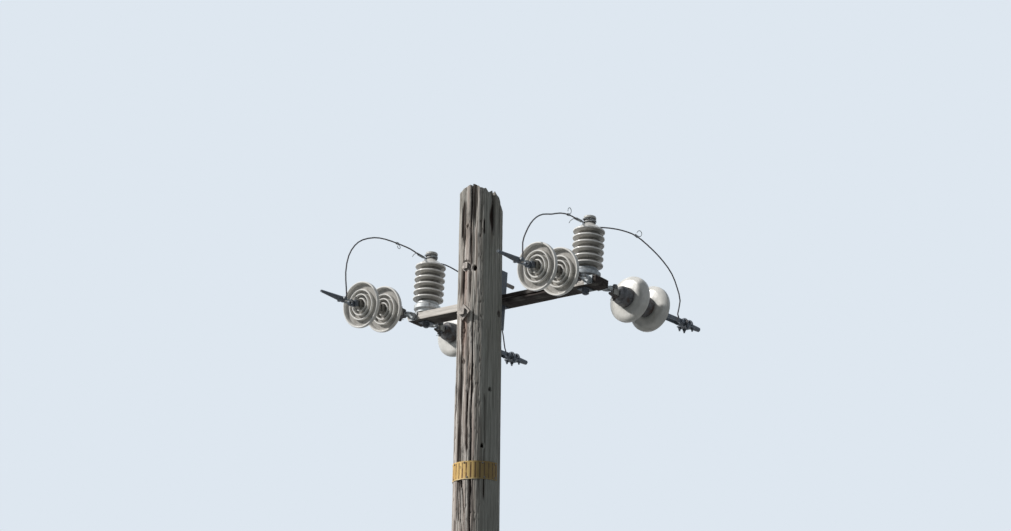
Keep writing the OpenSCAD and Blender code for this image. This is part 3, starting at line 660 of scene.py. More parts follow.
def wood_relief(turn, z):
    """How deep the pole's wood is hollowed, how dark it is painted, as shade in the hollows and as
    rot and knots, how proud its ridges stand and how pale the proudest are."""
    drop = POLE_H - z
    radius = pole_radius(z)
    around = past_knots(turn, drop, radius)
    depth, dark, ridge, strand, fine = open_grain(turn, z, around)

    # Drying splits, each with a proud lip on both sides, painted dark inside as shade
    for number, (angle, below, length, width, deep, swing) in enumerate(SPLITS):
        line = angle + swing * ripple(number + 0.5, z / 0.16, 31)
        aside = np.abs(beside(around, line, radius))
        ends = span(drop, below, below + length, min(0.10, length / 4), min(0.20, length / 3))
        open_by = width / 2 * (0.45 + 0.55 * ends)
        inside = (1 - step(aside, 0.35 * open_by, open_by * 1.25)) * ends
        depth = np.maximum(depth, deep * inside)
        dark = np.maximum(dark, inside)
        lip = peak(aside - 1.9 * open_by, 0.9 * open_by) * ends
        ridge = np.clip(ridge + 0.5 * lip, 0, 1)
        depth = depth - LIP_HEIGHT * lip * (depth < 0.004)

    # Rotten bands, frayed along their edges
    for number, (angle, below, length, width) in enumerate(ROTTEN_BANDS):
        line = angle + 2.2 * ripple(number + 20.5, z / 0.07, 32)
        aside = np.abs(beside(turn, line, radius))
        ends = span(drop, below - 0.02, below + length, 0.06, 0.07)
        frayed = width / 2 * (1 + 0.45 * strand)
        inside = (1 - step(aside, 0.45 * frayed, 1.15 * frayed)) * ends
        depth = depth + ROT_DEPTH * inside
        dark = np.maximum(dark, (0.62 + 0.20 * fine) * inside)

    # Ridges that have kept their height and are washed pale
    pale = 0 * z
    for number, (angle, below, length, width) in enumerate(PALE_RIDGES):
        line = angle + 1.6 * ripple(number + 40.5, z / 0.09, 33)
        aside = np.abs(beside(turn, line, radius))
        body = peak(aside, 0.55 * width) * span(drop, below, below + length, 0.03, 0.08)
        depth = depth * (1 - 0.75 * body)
        dark = dark * (1 - 0.80 * body)
        pale = np.maximum(pale, body)
    ridge = np.clip(ridge + 0.6 * pale, 0, 1)

    # Knots, ringed and a little longer than wide, each in a dark moat
    for angle, below, size in KNOTS:
        away = np.hypot(beside(turn, angle, radius), (drop - below) * 0.8) / size
        rings = 0.5 + 0.5 * np.cos(away * 9)
        body = 1 - step(away, 0.75, 1.05)
        depth = depth * (1 - body) + body * (KNOT_DEPTH + 0.0012 * rings)
        dark = dark * (1 - body) + body * (0.45 + 0.25 * rings)
        moat = peak(away - 1.05, 0.14)
        depth = depth + MOAT_DEPTH * moat
        dark = np.maximum(dark, 0.6 * moat)

    # Old bolt holes, each with a worn rim, painted dark inside as shade
    for angle, below, size in HOLES:
        away = np.hypot(beside(turn, angle, radius), drop - below) / size
        mouth = 1 - step(away, 0.82, 1.10)
        depth = np.maximum(depth, HOLE_DEPTH * mouth)
        dark = np.maximum(dark, mouth)
        rim = peak(away - 1.6, 0.45)
        dark = dark * (1 - 0.8 * rim * (1 - mouth))
        ridge = np.clip(ridge + 0.6 * rim, 0, 1)
    return depth, np.clip(dark, 0, 1), ridge, pale


# Cracks across the broken top, out from its middle: angle from the shown side, width
TOP_CRACKS = [(-27, 0.006), (36, 0.010), (110, 0.006), (159, 0.008), (-111, 0.006)]


def lid_height(x, y):
    """The height of the broken and rotted top over a place in plan."""
    side = math.radians(SHOWN_SIDE + 90)
    right = x * math.cos(side) + y * math.sin(side)
    toward = x * math.sin(side) - y * math.cos(side)
    wander = 0.004 * ripple(toward / 0.018 + 5, right / 0.03 + 9, 41)
    drop = np.interp(right + wander, *zip(*TOP_EDGE))
    drop = drop + 0.003 * ripple(x / 0.009 + 20, y / 0.009 + 20, 42)
    drop = drop + 0.006 * (0.5 + 0.5 * ripple(x / 0.028 + 9, y / 0.028 + 9, 43))
    turn = turned(np.degrees(np.arctan2(y, x)) - SHOWN_SIDE)
    reach = np.hypot(x, y)
    for angle, width in TOP_CRACKS:
        aside = np.abs(np.sin(np.radians(turn - angle))) * reach
        same_way = step(np.cos(np.radians(turn - angle)), -0.05, 0.15)
        crack = (1 - step(aside, 0.3 * width, width)) * same_way * step(reach, 0.0, 0.03)
        drop = drop + CRACK_DEPTH * crack
    hollow_heart = 1 - step(reach, 0.012, 0.040)
    return POLE_H - drop - 0.012 * hollow_heart


SEAT_Y = pole_radius(ARM_Z) - SEAT_DEPTH
SEAT_ROLL = math.radians(ARM_ROLL)


def into_seat_frame(y, z):
    """How far out from the flat seat a place lies, and how far up it."""
    out = (y - SEAT_Y) * math.cos(SEAT_ROLL) - (z - ARM_Z) * math.sin(SEAT_ROLL)
    up = (y - SEAT_Y) * math.sin(SEAT_ROLL) + (z - ARM_Z) * math.cos(SEAT_ROLL)
    return out, up


def out_of_seat_frame(out, up):
    y = SEAT_Y + out * math.cos(SEAT_ROLL) + up * math.sin(SEAT_ROLL)
    z = ARM_Z - out * math.sin(SEAT_ROLL) + up * math.cos(SEAT_ROLL)
    return y, z


POLE_SIDES = 288
# Rows of points across the butt, up the plain part, up the part that the photograph shows, and
# over the top
BUTT_ROWS = 3
LOW_ROWS = 92
HIGH_ROWS = 206
LID_ROWS = 30
FINE_FROM = 8.90
# Flats for the washers on the near side: height from the arm and radius; and their depth
WASHERS = [(BOLT_GAP / 2, 0.0225), (-BOLT_GAP / 2, 0.0355)]
WASHER_SINK = 0.003
# How far the wood stays clear of the bracket and of the washers
SEAT_PLAY = 0.0003
WASHER_PLAY = 0.0002


def sunlit_and_bleached_places(turn, z, pale, on_lid):
    """Where the wood is paler: the shown side's left as painted sunlight, and the ridges, top and
    back as bleached wood.
    """
    # Painted sunlight: the shown side's left, where the key light falls, is paler
    bleached = step(turned(turn), -150, -95) * step(-turned(turn), -16, 12)
    bleached = bleached * (1 - 0.55 * step(z, POLE_H - 0.26, POLE_H - 0.08))
    bleached = np.maximum(bleached, 0.9 * pale)
    bleached = np.maximum(bleached, 0.375 * on_lid)
    return np.maximum(bleached, 0.5 * step(np.abs(turned(turn - 175)), 80, 20))


def rust_runs(turn, z, radius):
    """Where rain has washed rust down from the two bolts."""
    rusted = 0 * z
    for height, _ in WASHERS:
        below = ARM_Z + height + 0.012 - z
        aside = beside(turn, BOLT_TURN, radius)
        rusted = np.maximum(rusted, peak(aside, 0.013) * span(below, -0.01, 0.26, 0.03, 0.21))
    return rusted


def carved_pole(finish):
    """A sheet of rows rolled round the pole, from the butt's middle up and over the broken top."""
    rows = BUTT_ROWS + LOW_ROWS + HIGH_ROWS + LID_ROWS
    pole, across, row = new_sheet("carved_pole", POLE_SIDES, rows - 1)
    turn = across * 360

    # The heights of the rows up to where the closer ones begin
    low = np.concatenate([np.zeros(BUTT_ROWS), np.linspace(0, FINE_FROM, LOW_ROWS)])
    angle = np.radians(turn + SHOWN_SIDE)
    edge_z = lid_height(TOP_R * np.cos(angle), TOP_R * np.sin(angle))
    share = np.clip((row - len(low) + 1) / HIGH_ROWS, 0, 1)
    z = np.where(row < len(low), low[np.minimum(row, len(low) - 1)], 0)
    z = np.where(row >= len(low), FINE_FROM + (edge_z - FINE_FROM) * share, z)
    depth, dark, ridge, pale = wood_relief(turn, z)
    radius = pole_radius(z) - depth
    radius = radius * np.where(row == 0, 0, np.where(row == 1, 0.6, 1))

    # The top, with the rings of the sawn wood faint on it
    lid_row = row - (len(low) + HIGH_ROWS - 1)
    on_lid = lid_row > 0
    inward = np.clip(1 - lid_row / LID_ROWS, 0, 1)
    radius = np.where(on_lid, radius * inward, radius)
    x = radius * np.cos(angle)
    y = radius * np.sin(angle)
    z = np.where(on_lid, lid_height(x, y), z)
    rings = 0.5 + 0.5 * np.cos(radius * 1000 + 3 * np.sin(angle * 3))
    dark = np.where(on_lid, 0.25 + 0.25 * rings, dark)
    ridge = np.where(on_lid, 0.35, ridge)

    # The flat seat for the bracket, and the washers' flats on the near side
    out, up = into_seat_frame(y, z)
    seated = (np.abs(up) < SEAT_H / 2) & (out > -SEAT_PLAY) & ~on_lid
    out = np.where(seated, -SEAT_PLAY, out)
    sunk = WASHER_SINK + SEAT_DEPTH + WASHER_PLAY - 2 * pole_radius(ARM_Z)
    for height, size in WASHERS:
        near = (np.hypot(x, up - height) < size) & (out < 0)
        out = np.where(near, np.maximum(out, sunk), out)
    y, z = out_of_seat_frame(out, up)
    dark = np.where(seated, 0.35 * dark, dark)
    move_points(pole, x, y, z)
    bleached = sunlit_and_bleached_places(turn, z, pale, on_lid)
    rusted = rust_runs(turn, z, radius)
    mark_points(pole, hollow=dark, ridge=ridge, bleached=bleached, rusted=rusted)
    close_seams(pole, distance=0.00002)
    shade(pole, degrees=55)
    settle(pole, finish, "pole_wood", "pole")


# The crossarm

# The slant of its left end in degrees, how worn its edges are, and how finely it is divided
SLANT = 28
WORN_EDGE = 0.0035
ARM_CELL = 0.0027
# How deep its grain's gaps, its hairlines and its waves go, and how far its ends are crumbled
ARM_GAP = 0.0011
ARM_HAIR = 0.0004
ARM_WAVE = 0.0006
CRUMB_DEPTH = 0.0020
# Its splits: from and to along the arm, height, width, depth, and 1 on the far face or -1 on
# the near one
SPLIT_LINES = [
    (-0.46, -0.16, 0.004, 0.0032, 0.008, 1),
    (-0.10, 0.30, -0.006, 0.0036, 0.010, 1),
    (0.10, 0.40, -0.004, 0.0030, 0.008, -1),
    (0.28, 0.57, 0.006, 0.0034, 0.009, 1),
]


def sawn_timber():
    """The crossarm's timber with worn edges, lying along x, its left end cut at a slant."""
    select_only()
    bpy.ops.mesh.primitive_cube_add(size=1)
    arm = bpy.context.object
    arm.name = "weathered_crossarm"
    bpy.ops.object.mode_set(mode="EDIT")
    bpy.ops.mesh.select_all(action="SELECT")
    bpy.ops.transform.resize(value=(ARM_L - 0.002, ARM_W - 0.001, ARM_T - 0.001))
    bpy.ops.transform.translate(value=(ARM_SHIFT, 0, 0))
    slant = math.radians(SLANT)
    bpy.ops.mesh.bisect(
        plane_co=(ARM_SHIFT - ARM_L / 2 + 0.001, 0, ARM_T / 2),
        plane_no=(math.cos(slant), 0, math.sin(slant)),
        clear_inner=True,
        use_fill=True,
    )
    bpy.ops.mesh.select_all(action="SELECT")
    bpy.ops.mesh.bevel(offset=WORN_EDGE, segments=3, profile=0.6)
    bpy.ops.object.mode_set(mode="OBJECT")
    remesh = arm.modifiers.new("even", "REMESH")
    remesh.mode = "VOXEL"
    remesh.voxel_size = ARM_CELL
    bpy.ops.object.modifier_apply(modifier="even")
    return arm


def painted_arm_shade_places(x, outward, round_it):
    """Where the crossarm is painted dark as shade: its right part and its underside, but for one
    painted sunlit patch, with some random tone.
    """
    under = step(-outward[:, 2], 0.2, 0.7)
    painted_shade_share = step(x, -0.06, 0.10) * (1 - 0.75 * step(outward[:, 2], 0.3, 0.8))
    # A painted sunlit patch on the right part
    clear = span(x, 0.44, 0.52, 0.015, 0.015)
    painted_shade_share = painted_shade_share * (1 - 0.85 * clear * (1 - under))
    painted_shade_share = np.maximum(painted_shade_share, 0.90 * under)
    return np.clip(painted_shade_share + 0.18 * ripple(x / 0.05 + 40, round_it / 30, 58), 0, 1)


def weathered_crossarm(finish):
    """The timber with raised grain, splits and crumbled ends, set on the bracket."""
    arm = sawn_timber()
    places = points_of(arm)
    outward = points_of(arm, "normal")
    x, y, z = places.T
    # Degrees round the section, so that the grain lines run on from face to face
    round_it = np.degrees(np.arctan2(z / ARM_T, y / ARM_W)) + 180
    sway = ripple(x / 0.13, 0.5, 51) * 2.0
    cell = (round_it + sway) / 360
    strand = ripple(cell * 44, x / 0.20, 52, 44)
    fine = ripple(cell * 96, x / 0.09, 53, 96)
    broad = ripple(cell * 12, x / 0.25, 54, 12)
    there = step(ripple(cell * 14, x / 0.12, 55, 14), -0.2, 0.4)
    gap = peak(strand, 0.22) * there
    depth = ARM_GAP * gap + ARM_HAIR * np.abs(fine) + ARM_WAVE * (0.5 + 0.5 * broad)
    # Painted shade in the grain's gaps, stronger on the right part, which is painted as shaded
    dark = (0.65 * gap + 0.15 * peak(fine, 0.25)) * (0.35 + 0.65 * step(x, -0.12, 0.08))
    # Splits, painted dark inside as shade
    for number, (start, stop, height, width, deep, face) in enumerate(SPLIT_LINES):
        line = height + 0.0022 * ripple(x / 0.06, number + 0.5, 56)
        inside = (1 - step(np.abs(z - line), 0.3 * width, width)) * (face * outward[:, 1] > 0.5)
        inside = inside * span(x, start, stop, 0.05, 0.05)
        depth = np.maximum(depth, deep * inside)
        dark = np.maximum(dark, inside)
    # Crumbled end grain, darker at the right end as end grain and as painted shade
    crumbs = 0.5 + 0.5 * ripple(y / 0.006 + 30, z / 0.006 + 30, 57)
    depth = depth + CRUMB_DEPTH * crumbs * (np.abs(outward[:, 0]) > 0.7)
    right_end = ARM_SHIFT + ARM_L / 2
    dark = np.maximum(dark, 0.30 * step(x, right_end - 0.012, right_end - 0.002))
    places = places - outward * depth[:, None]

    # Turned with the seat, and moved out from the pole
    move_points(arm, places[:, 0], *out_of_seat_frame(ARM_OUT + places[:, 1], places[:, 2]))
    mark_points(arm, hollow=dark, stained=painted_arm_shade_places(x, outward, round_it))
    shade(arm, degrees=50)
    settle(arm, finish, "crossarm_wood", "crossarm")


# The sign band

# Where its left end is, from the shown side, how far round it goes, and how much shorter the
# sheet is at each end, in degrees
SIGN_FROM = -165
SIGN_SWEEP = 223
SIGN_PLAY = 0.3
SIGN_COLUMNS = 180
SIGN_ROWS = 14
SIGN_BARS = 20
# The sheet's thickness, how far its face stands out from the pole, and its deepest dent
SHEET_T = 0.0009
SHEET_OUT = 0.0014
DEEPEST_DENT = 0.0024
# How ragged its edges are, how wavy its face is, and how far its edges curl out
RAGGED = 0.0014
WAVY = 0.0012
CURL = 0.0012


def dented_sign(finish):
    """A thin sheet nailed round the pole, pressed into the hollows of the wood."""
    sheet, along, row = new_sheet("dented_sign", SIGN_COLUMNS, SIGN_ROWS)
    across = row / SIGN_ROWS - 0.5
    turn = SIGN_FROM + SIGN_PLAY + (SIGN_SWEEP - 2 * SIGN_PLAY) * along
    middle = ARM_Z - SIGN_DROP
    z = middle + across * (SIGN_H - 0.001)
    edge = np.abs(across)
    torn = RAGGED * (0.5 + 0.5 * ripple(turn / 5, 0.5, 61)) * (edge > 0.46)
    z = z - np.sign(across) * torn
    dents = WAVY * (0.5 + 0.5 * ripple(turn / 14, across * 2 + 3, 62))
    # Pressed into two of the splits behind it
    dents = dents + 0.0016 * peak(turn + 48, 5) + 0.0010 * peak(turn + 14, 4)
    curl = CURL * step(edge, 0.36, 0.5) * (0.5 + 0.5 * ripple(turn / 9, 7, 63))
    radius = pole_radius(z) + SHEET_OUT - np.clip(dents - curl, 0, DEEPEST_DENT)
    angle = np.radians(turn + SHOWN_SIDE)
    move_points(sheet, radius * np.cos(angle), radius * np.sin(angle), z)

    # Along the sheet counted in bars, and across it from 0 to 1
    layer = sheet.data.uv_layers.active or sheet.data.uv_layers.new(name="UVMap")
    corners = np.empty(len(sheet.data.loops), dtype=np.int32)
    sheet.data.loops.foreach_get("vertex_index", corners)
    spread = np.stack([along[corners] * SIGN_BARS, across[corners] + 0.5], axis=1)
    layer.data.foreach_set("uv", spread.astype(np.float32).ravel())
    wall = sheet.modifiers.new("sheet", "SOLIDIFY")
    wall.thickness = SHEET_T
    wall.offset = -1
    select_only(sheet)
    bpy.ops.object.modifier_apply(modifier="sheet")
    shade(sheet, degrees=40)
    settle(sheet, finish, "sign_yellow", "sign_band")


# Finishes on the nodes shown as they are

# Where the eye rods and the post insulators stand along the crossarm
SIDES = {"left": -LEFT_EYE_X, "right": RIGHT_EYE_X}
POST_X = {"left": -LEFT_EYE_X + LEFT_POST_IN, "right": RIGHT_EYE_X - RIGHT_POST_IN}


def seat_place(x, out, up):
    """A place given from the flat seat on the pole, in the model's own directions."""
    y, z = out_of_seat_frame(out, up)
    return Vector((x, y, z))


def string_frame(way, side):
    """Where a string's eye stands, and the directions along and above the string."""
    toward = -1 if way == "near" else 1
    eye_out = BRACKET_T - EYE_AT if toward < 0 else BRACKET_T + ARM_W + EYE_AT
    droop = math.radians(STRING_DROOP)
    along = Vector((0, toward * math.cos(droop), -math.sin(droop)))
    above = Vector((0, toward * math.sin(droop), math.cos(droop)))
    return seat_place(SIDES[side], eye_out, 0), along, above


def post_frame(side):
    """The foot of a post insulator and the direction up it."""
    foot = seat_place(POST_X[side], ARM_OUT, ARM_T / 2)
    return foot, Vector((0, math.sin(SEAT_ROLL), math.cos(SEAT_ROLL)))


def dress_nodes():
    """Finishes for the nodes that are shown as the frame has them."""
    iron = rusty_iron()
    zinc = galvanised_steel("galvanised_steel", paint(112, 117, 121), paint(170, 175, 178))
    # Dark zinc for the clamps and far U-bolts, and as painted shade on the shaded bracket and studs
    dark_and_shaded_metal = galvanised_steel("dark_metal_and_painted_shade", paint(58, 64, 72), paint(98, 105, 113))
    # A paler copy of the zinc for the left post base: painted light, the right base keeping the
    # darker zinc as painted shade
    lit_side_base_metal = galvanised_steel("lit_side_base_metal_finish", paint(160, 164, 165), paint(214, 217, 218))
    bolt_metal = galvanised_steel("aged_bolt_metal", paint(92, 87, 84), paint(150, 144, 138))
    wire = oxidised_wire()
    # Nodes whose finish follows the place along their own insulator or string
    own = {}
    for side in SIDES:
        foot, up = post_frame(side)
        own[side + "_post_porcelain"] = grey_porcelain(side + "_post", foot, up, True)
        for way in ("near", "far"):
            eye, along, _ = string_frame(way, side)
            name = f"{way}_{side}"
            own[name + "_discs"] = grey_porcelain(name, eye, along, False)
            metal = cap_and_pin(name, eye, along)
            own[name + "_inner_fittings"] = metal
            own[name + "_outer_fittings"] = metal
    # The first word that a node's name holds gives its finish
    choices = (
        ("jumper", wire),
        ("shackle", iron),
        ("clamp", dark_and_shaded_metal),
        ("far_left_u_bolts", dark_and_shaded_metal),
        ("far_right_u_bolts", dark_and_shaded_metal),
        ("stud", dark_and_shaded_metal),
        ("bracket", dark_and_shaded_metal),
        ("through_bolt", bolt_metal),
        ("left_post_base", lit_side_base_metal),
    )
    for name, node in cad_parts.items():
        common = next((finish for word, finish in choices if word in name), zinc)
        node.data.materials.clear()
        node.data.materials.append(own.get(name, common))
    return iron, zinc, bolt_metal


# Small pieces of wire and iron

# The radius of the tie wire, and how far apart its turns are on a jumper and in an old curl
TIE_R = 0.0016
WRAP_PITCH = 0.0037
CURL_PITCH = 0.0040


def rolled_wire(line, reach, sides=8):
    """A sheet rolled round a line of points and closed at both ends; reach is its radius."""
    line = np.array(line)
    rows = len(line) + 2
    piece, across, row = new_sheet("wire", sides, rows - 1)
    turn = across * 2 * math.pi
    at = np.clip(row - 1, 0, len(line) - 1)
    along = np.gradient(line, axis=0)
    along = along / np.linalg.norm(along, axis=1)[:, None]
    # A direction across the wire, carried on from point to point so that the sheet doesn't twist
    aside = np.empty_like(line)
    last = square_to(along[0])[0]
    for number, onward in enumerate(along):
        last = unit(last - onward * (last @ onward))
        aside[number] = last
    above = np.cross(along, aside)
    reach = np.broadcast_to(reach, len(line))[at] * ((row > 0) & (row < rows - 1))
    ring = np.cos(turn)[:, None] * aside[at] + np.sin(turn)[:, None] * above[at]
    move_points(piece, *(line[at] + reach[:, None] * ring).T)
    close_seams(piece)
    return piece


def unit(vector):
    return vector / np.linalg.norm(vector)


def square_to(direction):
    """Two unit vectors square to a direction and to each other."""
    aside = unit(np.cross(direction, (0.2, 0.1, 1.0)))
    return aside, unit(np.cross(aside, direction))


def wound(start, end, reach, pitch):
    """Points of a wire wound round the straight from start to end."""
    turns = np.linalg.norm(end - start) / pitch
    angle = np.linspace(0, 2 * math.pi * turns, int(turns * 12) + 1)[:, None]
    aside, above = square_to(end - start)
    middle = start + (end - start) * angle / angle[-1]
    return middle + reach * (np.cos(angle) * aside + np.sin(angle) * above)


def make_one(name, parts, finish, slot):
    """Joins small parts into one piece, and gives it its finish and its place."""
    select_only(*parts)
    bpy.ops.object.join()
    piece = bpy.context.object
    piece.name = name
    shade(piece, degrees=60)
    settle(piece, finish, slot)


# The jumpers' points beside each post insulator's neck, near side and far side: x, y, height
# above the crossarm
BESIDE_NECK = {
    "left": ((-0.4241, 0.076, 0.282), (-0.4243, 0.200, 0.272)),
    "right": ((0.4626, 0.066, 0.276), (0.4621, 0.200, 0.271)),
}
# A wrap's loose tail: how far on along the jumper, and how far off it in x, y and z
TAIL = [
    (0.004, (-0.003, 0, 0.001)),
    (0.009, (-0.009, 0, -0.003)),
    (0.012, (-0.017, 0, -0.009)),
    (0.013, (-0.023, 0, -0.018)),
]


def tie_wraps(finish):
    """Wires wound round each jumper on both sides of the neck, with a tail at each end."""
    parts = []
    neck_up = ARM_T / 2 + NECK_AT
    for side, spots in BESIDE_NECK.items():
        x = POST_X[side] - NECK_R - WIRE_R - 0.0004
        for toward, spot in zip((-1, 1), spots):
            neck = np.array(seat_place(x, ARM_OUT + toward * 0.026, neck_up))
            end = np.array(spot) + (0, 0, ARM_Z)
            onward = unit(end - neck)
            turns = wound(neck - onward * 0.004, end, WIRE_R + TIE_R * 0.9, WRAP_PITCH)
            tail = [turns[-1] + onward * on + np.array(off) for on, off in TAIL]
            parts.append(rolled_wire([*turns, *tail], TIE_R))
        # The crossed ends behind the neck
        for rise in (-1, 1):
            bow = []
            for angle in np.linspace(-2.6, 2.6, 30):
                reach = NECK_R + 0.0050 + 0.003 * math.cos(angle * 3)
                x = POST_X[side] + reach * math.cos(angle)
                up = neck_up + rise * 0.009 * math.sin(angle * 0.6)
                bow.append(seat_place(x, ARM_OUT + reach * math.sin(angle), up))
            parts.append(rolled_wire(bow, TIE_R))
    make_one("tie_wraps", parts, finish, "bare_wire")


# Old tie ends left on the jumpers: a point of the wire, the wire's direction there, which way
# the loop stands from it, and the loop's radius
CURLS = [
    ((-0.4272, -0.054, 0.300), (0.0, 1.0, -0.03), (0.1, 0.2, -1.0), 0.008),
    ((0.4714, 0.008, 0.276), (-0.12, 1.0, 0.10), (0.1, -0.2, 1.0), 0.012),
    ((0.4952, 0.441, 0.283), (0.13, 1.0, -0.40), (0.3, 0.45, 1.0), 0.012),
]


def wire_curls(finish):
    """The curled ends of old ties, each wound a few times round its jumper."""
    parts = []
    for spot, direction, off, size in CURLS:
        spot = np.array(spot) + (0, 0, ARM_Z)
        onward = unit(np.array(direction))
        off = unit(np.array(off) - onward * np.dot(off, onward))
        start = spot - onward * 0.010
        turns = wound(start, spot + onward * 0.006, WIRE_R + TIE_R * 0.8, CURL_PITCH)
        foot = spot + onward * 0.008 + off * 0.005
        loop = []
        for angle in np.linspace(-1.5, 3.4, 22):
            reach = size * (1 + 0.06 * angle)
            way = math.cos(angle) * onward + math.sin(angle) * off
            loop.append(foot + off * size + reach * way)
        parts.append(rolled_wire([*turns, foot, *loop], TIE_R))
    make_one("wire_curls", parts, finish, "bare_wire")


# The pins of a string: distance from the eye, and drop to the split pin at the free end
STRING_PINS = [
    (SHACKLE_PIN_AT, 0.0325),
    (SHACKLE_PIN_AT + DISC_GAP, 0.0258),
    (SHACKLE_PIN_AT + 2 * DISC_GAP, 0.0258),
]
PIN_WIRE_R = 0.0011
RING_AT = 0.0105
RING_R = 0.0035


def split_pin_line():
    """The bent wire of a split pin from leg to leg: how far along its axis, and how far aside."""
    bends = np.linspace(2.6, -2.6, 14)
    ring = [(RING_AT + RING_R * math.cos(a), RING_R * math.sin(a)) for a in bends]
    leg = [(-0.0150, 0.0070), (-0.0105, 0.0034), (-0.0075, PIN_WIRE_R), (0.0050, PIN_WIRE_R)]
    other = [(0.0050, -PIN_WIRE_R), (-0.0075, -PIN_WIRE_R), (-0.0110, -0.0030), (-0.0170, -0.0060)]
    return [*leg, *ring, *other]


def split_pins(finish):
    """A split pin through the free end of each pin in the four strings."""
    parts = []
    for side in SIDES:
        for way in ("near", "far"):
            eye, along, above = (np.array(v) for v in string_frame(way, side))
            across = np.cross(along, above)
            for reach, drop in STRING_PINS:
                middle = eye + along * reach - above * drop
                line = [middle + across * a + along * b for a, b in split_pin_line()]
                parts.append(rolled_wire(line, PIN_WIRE_R, sides=6))
    make_one("split_pins", parts, finish, "zinc_steel")


# How far out from the seat the bolts leave their nuts
NUT_OUT = BRACKET_T + 0.019
# The bolts' free ends: from and to as x, out and up from the seat, and the bolt's radius
FREE_ENDS = [
    ((0, NUT_OUT, BOLT_GAP / 2), (0, 0.148, BOLT_GAP / 2), 0.0080),
    ((0, NUT_OUT, -BOLT_GAP / 2), (0, 0.062, -BOLT_GAP / 2), 0.0080),
    ((0, ARM_OUT, -0.035), (0, ARM_OUT, -0.051), 0.0060),
]
# Each ridge of a thread takes four steps of this length, and stands up by its height
THREAD_STEP = 0.0006
THREAD_H = 0.0006


def bolt_threads(finish):
    """Threads on the ends of the bolts that stand clear of their nuts."""
    parts = []
    for start, end, radius in FREE_ENDS:
        start, end = (np.array(seat_place(*place)) for place in (start, end))
        count = int(np.linalg.norm(end - start) / THREAD_STEP)
        share = np.linspace(0, 1, count)[:, None]
        ridges = radius + 0.0001 + THREAD_H * np.abs((np.arange(count) % 4) - 2) / 2
        parts.append(rolled_wire(start + (end - start) * share, ridges, sides=20))
    make_one("bolt_threads", parts, finish, "zinc_steel")


# The sign's nails: angle from the shown side, height above the band's middle
NAILS = [
    (-158, 0.028), (-157, -0.029), (-112, 0.031), (-66, 0.030), (-70, -0.031), (-31, 0.031),
    (-24, -0.030), (14, 0.030), (19, -0.030), (51, 0.029), (50, -0.028),
]
NAIL_R = 0.0042
NAIL_OUT = 0.0016


def sign_nails(finish):
    """The low round heads of the sign's nails."""
    parts = []
    for turn, up in NAILS:
        z = ARM_Z - SIGN_DROP + up
        angle = math.radians(turn + SHOWN_SIDE)
        out = Vector((math.cos(angle), math.sin(angle), 0))
        select_only()
        bpy.ops.mesh.primitive_uv_sphere_add(segments=14, ring_count=8, radius=NAIL_R)
        bpy.ops.object.mode_set(mode="EDIT")
        bpy.ops.transform.resize(value=(1, 1, 0.45))
        bpy.ops.object.mode_set(mode="OBJECT")
        head = bpy.context.object
        place = Matrix.Translation(out * (pole_radius(z) + NAIL_OUT) + Vector((0, 0, z)))
        head.data.transform(place @ out.to_track_quat("Z", "Y").to_matrix().to_4x4())
        parts.append(head)
    make_one("sign_nails", parts, finish, "dull_iron")


# The stage

FILL_COLOUR = (0.88, 0.94, 1.0, 1)
FILL_POWER = 0.20
KEY_COLOUR = (1.0, 0.97, 0.93)
KEY_POWER = 3.3
# How wide the key light looks, in degrees, and which way it travels
KEY_WIDTH = 4
KEY_TRAVEL = Vector((0.562, 0.582, -0.588))
FLOOR_SIZE = 600
# The width of the camera's frame in millimetres
FILM_WIDTH = 36


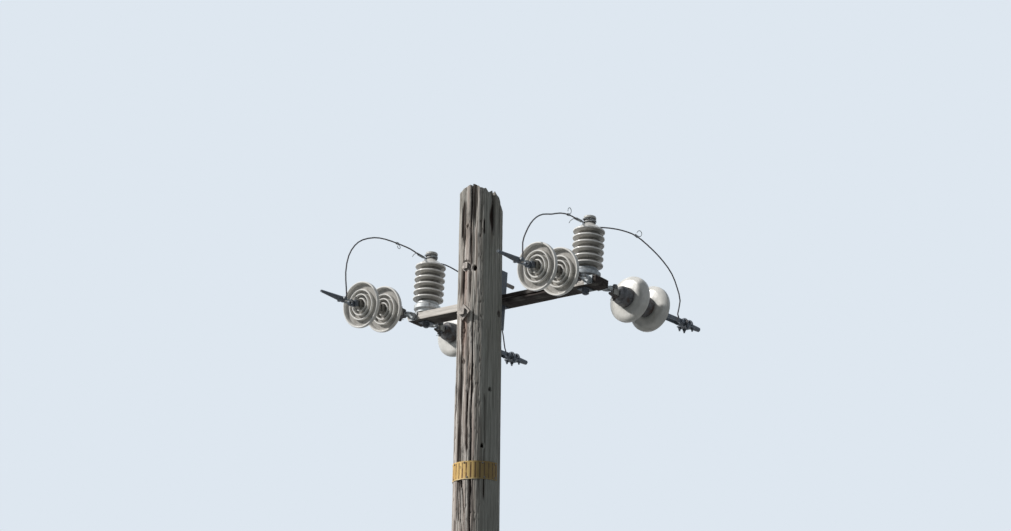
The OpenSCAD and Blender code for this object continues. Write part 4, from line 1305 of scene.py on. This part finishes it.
def place_camera():
    """The photograph's view, from its turn, lift, roll and distance."""
    turn, lift, roll = (math.radians(a) for a in (CAMERA_TURN, CAMERA_LIFT, CAMERA_ROLL))
    level = math.cos(lift)
    back = Vector((math.sin(turn) * level, -math.cos(turn) * level, math.sin(lift)))
    right = Vector((math.cos(turn), math.sin(turn), 0))
    up = back.cross(right)
    axes = Matrix((right, up, back)).transposed() @ Matrix.Rotation(roll, 3, "Z")
    data = bpy.data.cameras.new("camera")
    camera = bpy.data.objects.new("camera", data)
    bpy.context.scene.collection.objects.link(camera)
    spot = Vector((0, 0, ARM_Z)) + back * CAMERA_AWAY
    camera.matrix_world = Matrix.Translation(spot) @ axes.to_4x4()
    data.sensor_width = FILM_WIDTH
    data.lens = FILM_WIDTH * PIXELS_PER_METRE * CAMERA_AWAY / PHOTO_PIXELS[0]
    data.shift_x = (PHOTO_PIXELS[0] / 2 - AIM_PIXEL[0]) / PHOTO_PIXELS[0]
    data.shift_y = (AIM_PIXEL[1] - PHOTO_PIXELS[1] / 2) / PHOTO_PIXELS[0]
    data.clip_end = 200
    bpy.context.scene.camera = camera


def light_studio():
    """A soft key from the left, a sky's fill, and a plain pale background."""
    bpy.context.scene.world = bpy.data.worlds.new("studio")
    sky = Recipe(bpy.context.scene.world, "Background", color=FILL_COLOUR, strength=FILL_POWER)
    fill = Signal(sky, sky.shader.outputs[0])
    shown = sky.node("Background", None, {"Color": paint(222, 231, 240)})
    choice = sky.node("MixShader", None, {0: sky.to_camera(), 1: fill, 2: shown})
    sky.connect(sky.tree.nodes["World Output"].inputs["Surface"], choice)

    data = bpy.data.lights.new("key", "SUN")
    data.energy = KEY_POWER
    data.angle = math.radians(KEY_WIDTH)
    data.color = KEY_COLOUR
    key = bpy.data.objects.new("key", data)
    bpy.context.scene.collection.objects.link(key)
    key.rotation_euler = KEY_TRAVEL.to_track_quat("-Z", "Y").to_euler()


def lay_floor(finish):
    select_only()
    bpy.ops.mesh.primitive_plane_add(size=FLOOR_SIZE, location=(0, 0, -0.001))
    floor = bpy.context.object
    floor.name = "floor"
    bpy.ops.object.transform_apply(location=True, rotation=True, scale=True)
    floor.data.materials.append(finish)


iron, zinc, bolt_metal = dress_nodes()
carved_pole(old_pole_wood())
weathered_crossarm(old_crossarm_wood())
dented_sign(worn_sign_paint())
tie_wraps(zinc)
wire_curls(zinc)
split_pins(zinc)
bolt_threads(bolt_metal)
sign_nails(iron)
lay_floor(pale_floor())
light_studio()
place_camera()
bpy.context.scene.view_settings.view_transform = "Standard"
